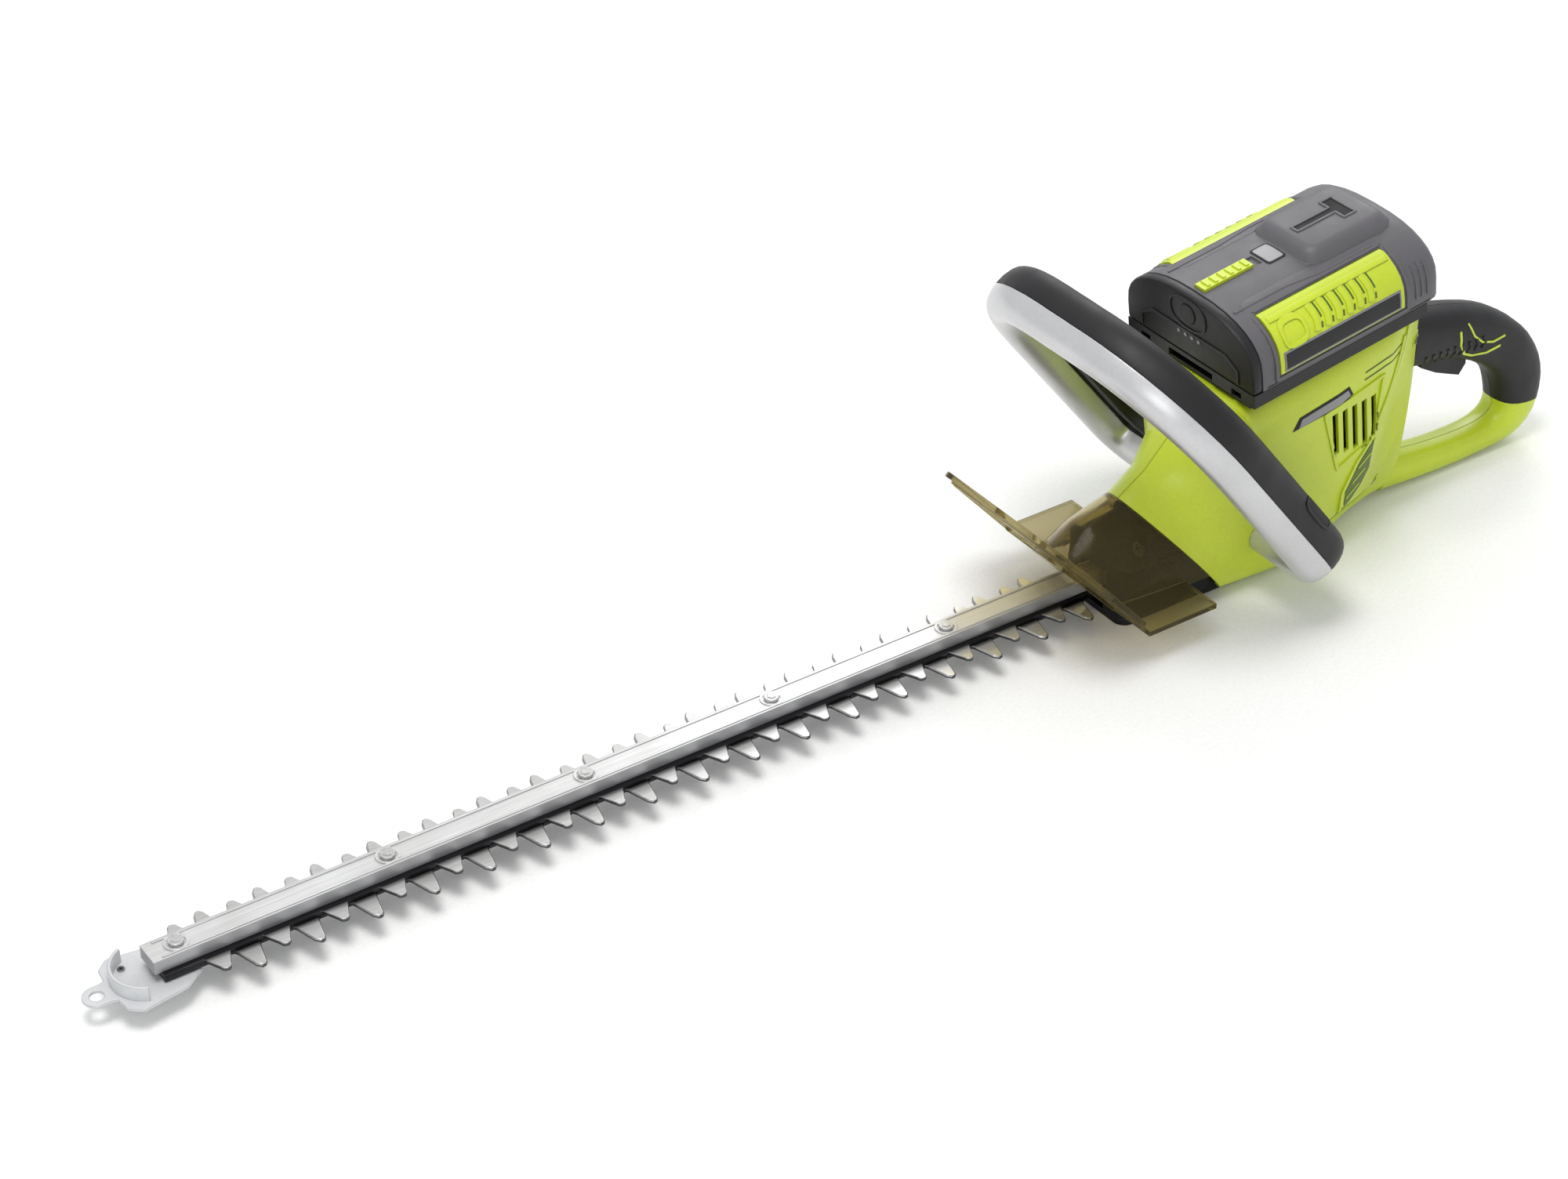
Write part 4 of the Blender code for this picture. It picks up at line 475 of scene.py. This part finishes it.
def housing_details(hand, word):
    node = "housing_" + word
    side = Side(SHIFT, X, Z, Y * hand, node)
    plate = [(-0.1300, 0.0985), (-0.1345, 0.1070), (-0.1745, 0.1150), (-0.1790, 0.1080), (-0.1690, 0.1035)]
    # The near-black frame round the name plate is painted shade where the plate sits in.
    patch("name_plate_frame_" + word, side, plate, "tool", RECESS_SHADE_AND_SEAM, -0.0002, 0.0006)
    inner = [(-0.1345, 0.0993), (-0.1362, 0.1055), (-0.1733, 0.1130), (-0.1765, 0.1083), (-0.1685, 0.1050)]
    patch("name_plate_" + word, side, inner, "tool", GREY_PLATE, 0.0003, 0.0004)
    surround = [(-0.1560, 0.1010), (-0.2065, 0.1110), (-0.2080, 0.0650), (-0.1760, 0.0530)]
    strip("vent_surround_" + word, side, surround, 0.0024, "tool", LIME, -0.0003, 0.0013, True)
    # Two thin strips of painted shade stand for grooves.
    for k in range(2):
        line = [(-0.1885, 0.1195 - 0.0052 * k), (-0.2290, 0.1262 - 0.0052 * k)]
        strip("groove_shade_line_%s_%d" % (word, k + 1), side, line, 0.0011, "tool", LIME_SHADE, -0.0001, 0.0003)
    for k in range(2):
        ridge = [(-0.2330 + 0.0065 * k, 0.1400 - 0.010 * k), (-0.2250 + 0.0065 * k, 0.1080 - 0.010 * k),
                 (-0.2160 + 0.0065 * k, 0.0800 - 0.010 * k), (-0.2130 + 0.004 * k, 0.0700 - 0.010 * k)]
        strip("rear_rib_%s_%d" % (word, k + 1), side, ridge, 0.0032, "tool", LIME, -0.0004, 0.0014)
    # The side scallop is a flat patch of painted shade; its rim and ribs are raised lime.
    scallop = [(-0.2115, 0.0600), (-0.2125, 0.0370), (-0.2060, 0.0270), (-0.1905, 0.0150), (-0.1890, 0.0300),
               (-0.1985, 0.0480)]
    patch("side_scallop_shade_" + word, side, scallop, "tool", LIME_SHADE, -0.0001, 0.0005)
    rim = [(-0.1860, 0.0130), (-0.1855, 0.0310), (-0.1955, 0.0505), (-0.2090, 0.0640)]
    strip("scallop_rim_" + word, side, rim, 0.0026, "tool", LIME, -0.0003, 0.0013)
    for k in range(3):
        rib = [(-0.2110 + 0.004 * k, 0.0500 - 0.010 * k), (-0.1985 + 0.004 * k, 0.0440 - 0.010 * k)]
        strip("scallop_rib_%s_%d" % (word, k + 1), side, rib, 0.0012, "tool", LIME, 0.0002, 0.0006)
    edge = [(-0.2360, 0.0130), (-0.1900, 0.0060), (-0.1450, 0.0060)]
    strip("lower_edge_" + word, side, edge, 0.0022, "tool", LIME, -0.0004, 0.0012)
    for k, (a, b) in enumerate(((-0.2480, 0.1150), (-0.1550, 0.0200), (-0.2300, 0.0140), (-0.1230, 0.0480))):
        screw("housing_screw_%s_%d" % (word, k + 1), side, a, b, 0.0032, "tool", LIME)


def grip_details(hand, word):
    side = Side(SHIFT, X, Z, Y * hand, "rear_grip_" + word)
    hook = [(-0.3060, 0.0930), (-0.3075, 0.0830), (-0.3130, 0.0740), (-0.3210, 0.0700), (-0.3320, 0.0690),
            (-0.3440, 0.0710)]
    strip("grip_line_a_" + word, side, hook, 0.0018, "tool", LIME, -0.0003, 0.0007, False, 0.002)
    branch = [(-0.3135, 0.0960), (-0.3190, 0.0860), (-0.3270, 0.0790), (-0.3370, 0.0760), (-0.3480, 0.0770)]
    strip("grip_line_b_" + word, side, branch, 0.0014, "tool", LIME, -0.0003, 0.0007, False, 0.002)
    for k in range(9):
        a = -0.2780 - 0.0062 * k
        rib = [(a, 0.0830), (a - 0.0020, 0.0785), (a, 0.0740)]
        strip("grip_rib_%s_%d" % (word, k + 1), side, rib, 0.0018, "tool", BLACK, -0.0003, 0.0010)


def pack_details():
    top = Side(PACK_ORIGIN, PACK_BACK, Y, PACK_UP, "battery_shell")
    plate = oval(0.0625, 0.0, 0.0072, 0.0095, 24, 0.25)
    # The near-black frame round the pack plate is painted shade where the plate sits in.
    patch("pack_plate_frame", top, plate, "battery_body", RECESS_SHADE_AND_SEAM, -0.0003, 0.0006)
    patch("pack_plate", top, oval(0.0625, 0.0, 0.0060, 0.0082, 24, 0.25), "battery_body", GREY_PLATE,
          0.0002, 0.0004)
    groove = [(0.0840, -0.0030), (0.1140, -0.0030), (0.1140, -0.0110), (0.1230, -0.0110), (0.1230, 0.0110),
              (0.1140, 0.0110), (0.1140, 0.0030), (0.0840, 0.0030)]
    # The groove is a flat patch of painted shade.
    patch("pack_groove", top, groove, "battery_body", RECESS_SHADE_AND_SEAM, -0.0002, 0.0003)
    strip("pack_groove_rim", top, groove, 0.0016, "battery_body", GREY, -0.0003, 0.0010, True)
    for hand, word in ((LEFT, "left"), (RIGHT, "right")):
        edge = [(a, hand * b) for a, b in ((0.0100, 0.0300), (0.0500, 0.0300), (0.0740, 0.0330), (0.1150, 0.0330))]
        strip("pack_top_line_" + word, top, edge, 0.0016, "battery_body", GREY, -0.0004, 0.0010)
        side = Side(PACK_ORIGIN, PACK_BACK, PACK_UP, Y * hand, "battery_shell")
        frame_path = [(0.0175, 0.0125), (0.0175, 0.0500), (0.1215, 0.0500), (0.1215, 0.0125)]
        strip("latch_frame_" + word, side, frame_path, 0.0026, "battery_body", GREY, -0.0004, 0.0014, True)
        for k in range(3):
            line = [(0.1285 + 0.0045 * k, 0.0160), (0.1285 + 0.0045 * k, 0.0380)]
            strip("pack_rear_rib_%s_%d" % (word, k + 1), side, line, 0.0014, "battery_body", GREY,
                  -0.0003, 0.0010)
        seam = [(0.0100, 0.0105), (0.1400, 0.0105)]
        strip("pack_seam_" + word, side, seam, 0.0009, "battery_body", RECESS_SHADE_AND_SEAM, -0.0002, 0.0003)
        latch_side = Side(PACK_ORIGIN, PACK_BACK, PACK_UP, Y * hand, "latch_" + word)
        body = "latch_%s_body" % word
        strip_frame = [(0.0230, 0.0165), (0.1150, 0.0165), (0.1150, 0.0295), (0.0230, 0.0295)]
        patch("latch_label_frame_" + word, latch_side, strip_frame, body, GREY_PLATE, -0.0003, 0.0008)
        strip_inner = [(0.0242, 0.0178), (0.1138, 0.0178), (0.1138, 0.0282), (0.0242, 0.0282)]
        patch("latch_label_" + word, latch_side, strip_inner, body, DARK, 0.0002, 0.0005)
        for k in range(6):
            a = 0.0500 + 0.0085 * k
            ridge = [(a, 0.0320), (a + 0.0016, 0.0380), (a + 0.0008, 0.0450)]
            strip("latch_ridge_%s_%d" % (word, k + 1), latch_side, ridge, 0.0040, body, LIME, -0.0004, 0.0016)
            # Painted shade in the valley beside each ridge.
            valley = [(p + 0.00425, q) for p, q in ridge]
            strip("latch_valley_shade_%s_%d" % (word, k + 1), latch_side, valley, 0.0013, body, LIME_SHADE,
                  -0.0002, 0.0003)
        arch = oval(0.0345, 0.0375, 0.0085, 0.0065, 20, 0.6)
        strip("latch_arch_" + word, latch_side, arch, 0.0026, body, LIME, -0.0003, 0.0015, True)
        strip("latch_edge_" + word, latch_side, [(0.0225, 0.0460), (0.1160, 0.0460)], 0.0020, body, LIME,
              -0.0004, 0.0012)
    slider = Side(PACK_ORIGIN, PACK_BACK, Y, PACK_UP, "pack_slider")
    for k in range(6):
        a = SLIDER_MIDDLE + 0.0060 * (k - 2.5)
        strip("slider_rib_%d" % (k + 1), slider, [(a, -0.0034), (a, 0.0034)], 0.0022, "slider_body", LIME,
              -0.0003, 0.0012)
    face = Side(PACK_ORIGIN, Y, PACK_UP, -PACK_BACK, "battery_cap")
    ring = oval(0.0, 0.0400, 0.0160, 0.0105, 28, 0.8)
    strip("cap_ring", face, ring, 0.0016, "battery_body", DARK, -0.0004, 0.0012, True)
    panel = [(-0.0440, 0.0060), (0.0440, 0.0060), (0.0440, 0.0200), (0.0330, 0.0270), (-0.0330, 0.0270),
             (-0.0440, 0.0200)]
    strip("cap_panel_rim", face, panel, 0.0018, "battery_body", DARK, -0.0004, 0.0012, True)
    for k in range(4):
        lamp = oval(-0.0090 + 0.0060 * k, 0.0240, 0.0013, 0.0013, 12)
        patch("charge_lamp_%d" % (k + 1), face, lamp, "battery_body", GREY_PLATE, -0.0002, 0.0007, 0.01)


def bow_details():
    for hand, word in ((LEFT, "left"), (RIGHT, "right")):
        out = Vector((0.20, 0.74 * hand, 0.64))
        origin = Vector((-0.1110, 0.0915 * hand, 0.0660)) + SHIFT
        across = out.normalized().cross(BOW_UP).normalized()
        side = Side(origin, BOW_UP, across, out, "bow_overmould")
        slot = oval(0.0, 0.0, 0.0150, 0.0040, 24, 0.6)
        rim = oval(0.0, 0.0, 0.0162, 0.0050, 28, 0.6)
        # The bow slot is a flat patch of painted shade.
        patch("bow_slot_" + word, side, slot, "tool", RECESS_SHADE_AND_SEAM, 0.0, 0.0005, 0.003)
        strip("bow_slot_rim_" + word, side, rim, 0.0020, "tool", BLACK, -0.0004, 0.0012, True)


def guard_details():
    top = Side(SHIFT, X, Y, Z, "gear_case")
    for k, (a, b) in enumerate(((-0.040, 0.022), (-0.040, -0.022))):
        screw("case_screw_%d" % (k + 1), top, a, b, 0.0032, "tool")
    for k in range(5):
        a = -0.0560 - 0.0090 * k
        strip("case_fin_%d" % (k + 1), top, [(a, -0.0140), (a, 0.0140)], 0.0020, "tool", CAST, -0.0004, 0.0022)
    up = Vector((math.sin(GUARD_LEAN), 0.0, math.cos(GUARD_LEAN)))
    face = Vector((math.cos(GUARD_LEAN), 0.0, -math.sin(GUARD_LEAN)))
    plate = Side(GUARD_FOOT, up, Y, face, "hand_guard")
    rim = [(0.0050, -0.0655), (0.0760, -0.0655), (0.0880, -0.0540), (0.0880, 0.0540), (0.0760, 0.0655),
           (0.0050, 0.0655)]
    strip("guard_rim", plate, rim, 0.0022, "tool", SMOKE, 0.00005, 0.0012)


def bar_details():
    top = Side(SHIFT, X, Y, Z, "support_bar")
    low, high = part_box("support_bar")
    start = low.x - SHIFT.x + 0.006
    end = high.x - SHIFT.x - 0.006
    for hand, word in ((LEFT, "left"), (RIGHT, "right")):
        strip("bar_bead_" + word, top, [(start, hand * 0.0066), (end, hand * 0.0066)], 0.0012, "tool", BRIGHT,
              -0.0003, 0.0008, False, 0.02)
    for k in range(6):
        bolt = "blade_bolt_%d" % (k + 1)
        low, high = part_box(bolt)
        middle = (low + high) / 2 - SHIFT
        washer = oval(middle.x, middle.y, 0.0062, 0.0062, 20)
        strip("bolt_washer_%d" % (k + 1), top, washer, 0.0018, "tool", BRIGHT, -0.0002, 0.0008, True, 0.01)
        head = Side(SHIFT, X, Y, Z, bolt)
        patch("bolt_crown_%d" % (k + 1), head, oval(middle.x, middle.y, 0.0028, 0.0028, 6), "tool", PALE_BOLT,
              -0.0002, 0.0007, 0.02)


def tip_details():
    top = Side(SHIFT, X, Y, Z, "tip_protector")
    for k, hand in enumerate((LEFT, RIGHT)):
        screw("tip_screw_%d" % (k + 1), top, 0.6225, hand * 0.0120, 0.0022, "tool")


def build_details():
    for hand, word in ((LEFT, "left"), (RIGHT, "right")):
        housing_details(hand, word)
        grip_details(hand, word)
    pack_details()
    bow_details()
    guard_details()
    bar_details()
    tip_details()


# ---------------------------------------------------------------- floor, light and camera
FLOOR_HALF = 6
FLOOR_DROP = 0.0004
LIGHT_AIM = Vector((-0.1, 0.0, 0.1))
CAMERA_AZIMUTH = math.radians(34.805)      # from +Y towards +X
CAMERA_ELEVATION = math.radians(34.613)
CAMERA_ROLL = math.radians(0.1935)
CAMERA_ASIDE = -0.1696
CAMERA_RISE = 0.0033
CAMERA_BACK = 2.0177
CAMERA_LENS = 75.66                        # millimetres
CAMERA_SENSOR = 36.0


def build_floor():
    mesh = bpy.data.meshes.new("floor")
    corners = [(x * FLOOR_HALF, y * FLOOR_HALF, 0) for x, y in ((-1, -1), (1, -1), (1, 1), (-1, 1))]
    mesh.from_pydata(corners, [], [(0, 1, 2, 3)])
    floor = bpy.data.objects.new("floor", mesh)
    bpy.context.scene.collection.objects.link(floor)
    floor.location.z = -FLOOR_DROP
    floor.data.materials.append(plastic("floor_paint", (0.86, 0.86, 0.85), 0.75, 60.0, 0.0002, rub_and_edge_shade=0.0,
                                        variation=0.01, specular=0.2))


def area(name, place, size, power, color=(1.0, 1.0, 1.0)):
    light = bpy.data.lights.new(name, "AREA")
    light.shape = "DISK"
    light.size = size
    light.energy = power
    light.color = color
    obj = bpy.data.objects.new(name, light)
    bpy.context.scene.collection.objects.link(obj)
    obj.location = place
    obj.rotation_euler = (LIGHT_AIM - Vector(place)).to_track_quat("-Z", "Y").to_euler()


def build_light():
    world = bpy.data.worlds.new("studio")
    bpy.context.scene.world = world
    world.use_nodes = True
    background = world.node_tree.nodes["Background"]
    background.inputs["Color"].default_value = (0.97, 0.98, 1.0, 1.0)
    background.inputs["Strength"].default_value = 0.80
    area("key", (0.5, 0.2, 2.2), 1.0, 26.0, (1.0, 0.99, 0.97))
    area("side", (1.6, 1.6, 0.9), 1.0, 6.0)
    area("back", (-1.4, -1.2, 1.3), 1.2, 12.0)
    bpy.context.scene.view_settings.view_transform = "Standard"


def build_camera():
    level = math.cos(CAMERA_ELEVATION)
    back = Vector((math.sin(CAMERA_AZIMUTH) * level, math.cos(CAMERA_AZIMUTH) * level,
                   math.sin(CAMERA_ELEVATION)))
    right = Z.cross(back).normalized()
    up = back.cross(right)
    across = right * math.cos(CAMERA_ROLL) + up * math.sin(CAMERA_ROLL)
    upward = up * math.cos(CAMERA_ROLL) - right * math.sin(CAMERA_ROLL)
    place = across * CAMERA_ASIDE + upward * CAMERA_RISE + back * CAMERA_BACK + SHIFT
    data = bpy.data.cameras.new("view")
    data.lens = CAMERA_LENS
    data.sensor_width = CAMERA_SENSOR
    camera = bpy.data.objects.new("view", data)
    bpy.context.scene.collection.objects.link(camera)
    matrix = Matrix((across, upward, back)).transposed().to_4x4()
    matrix.translation = place
    camera.matrix_world = matrix
    bpy.context.scene.camera = camera


dress_frame()
build_details()
build_floor()
build_light()
build_camera()
bpy.context.view_layer.update()
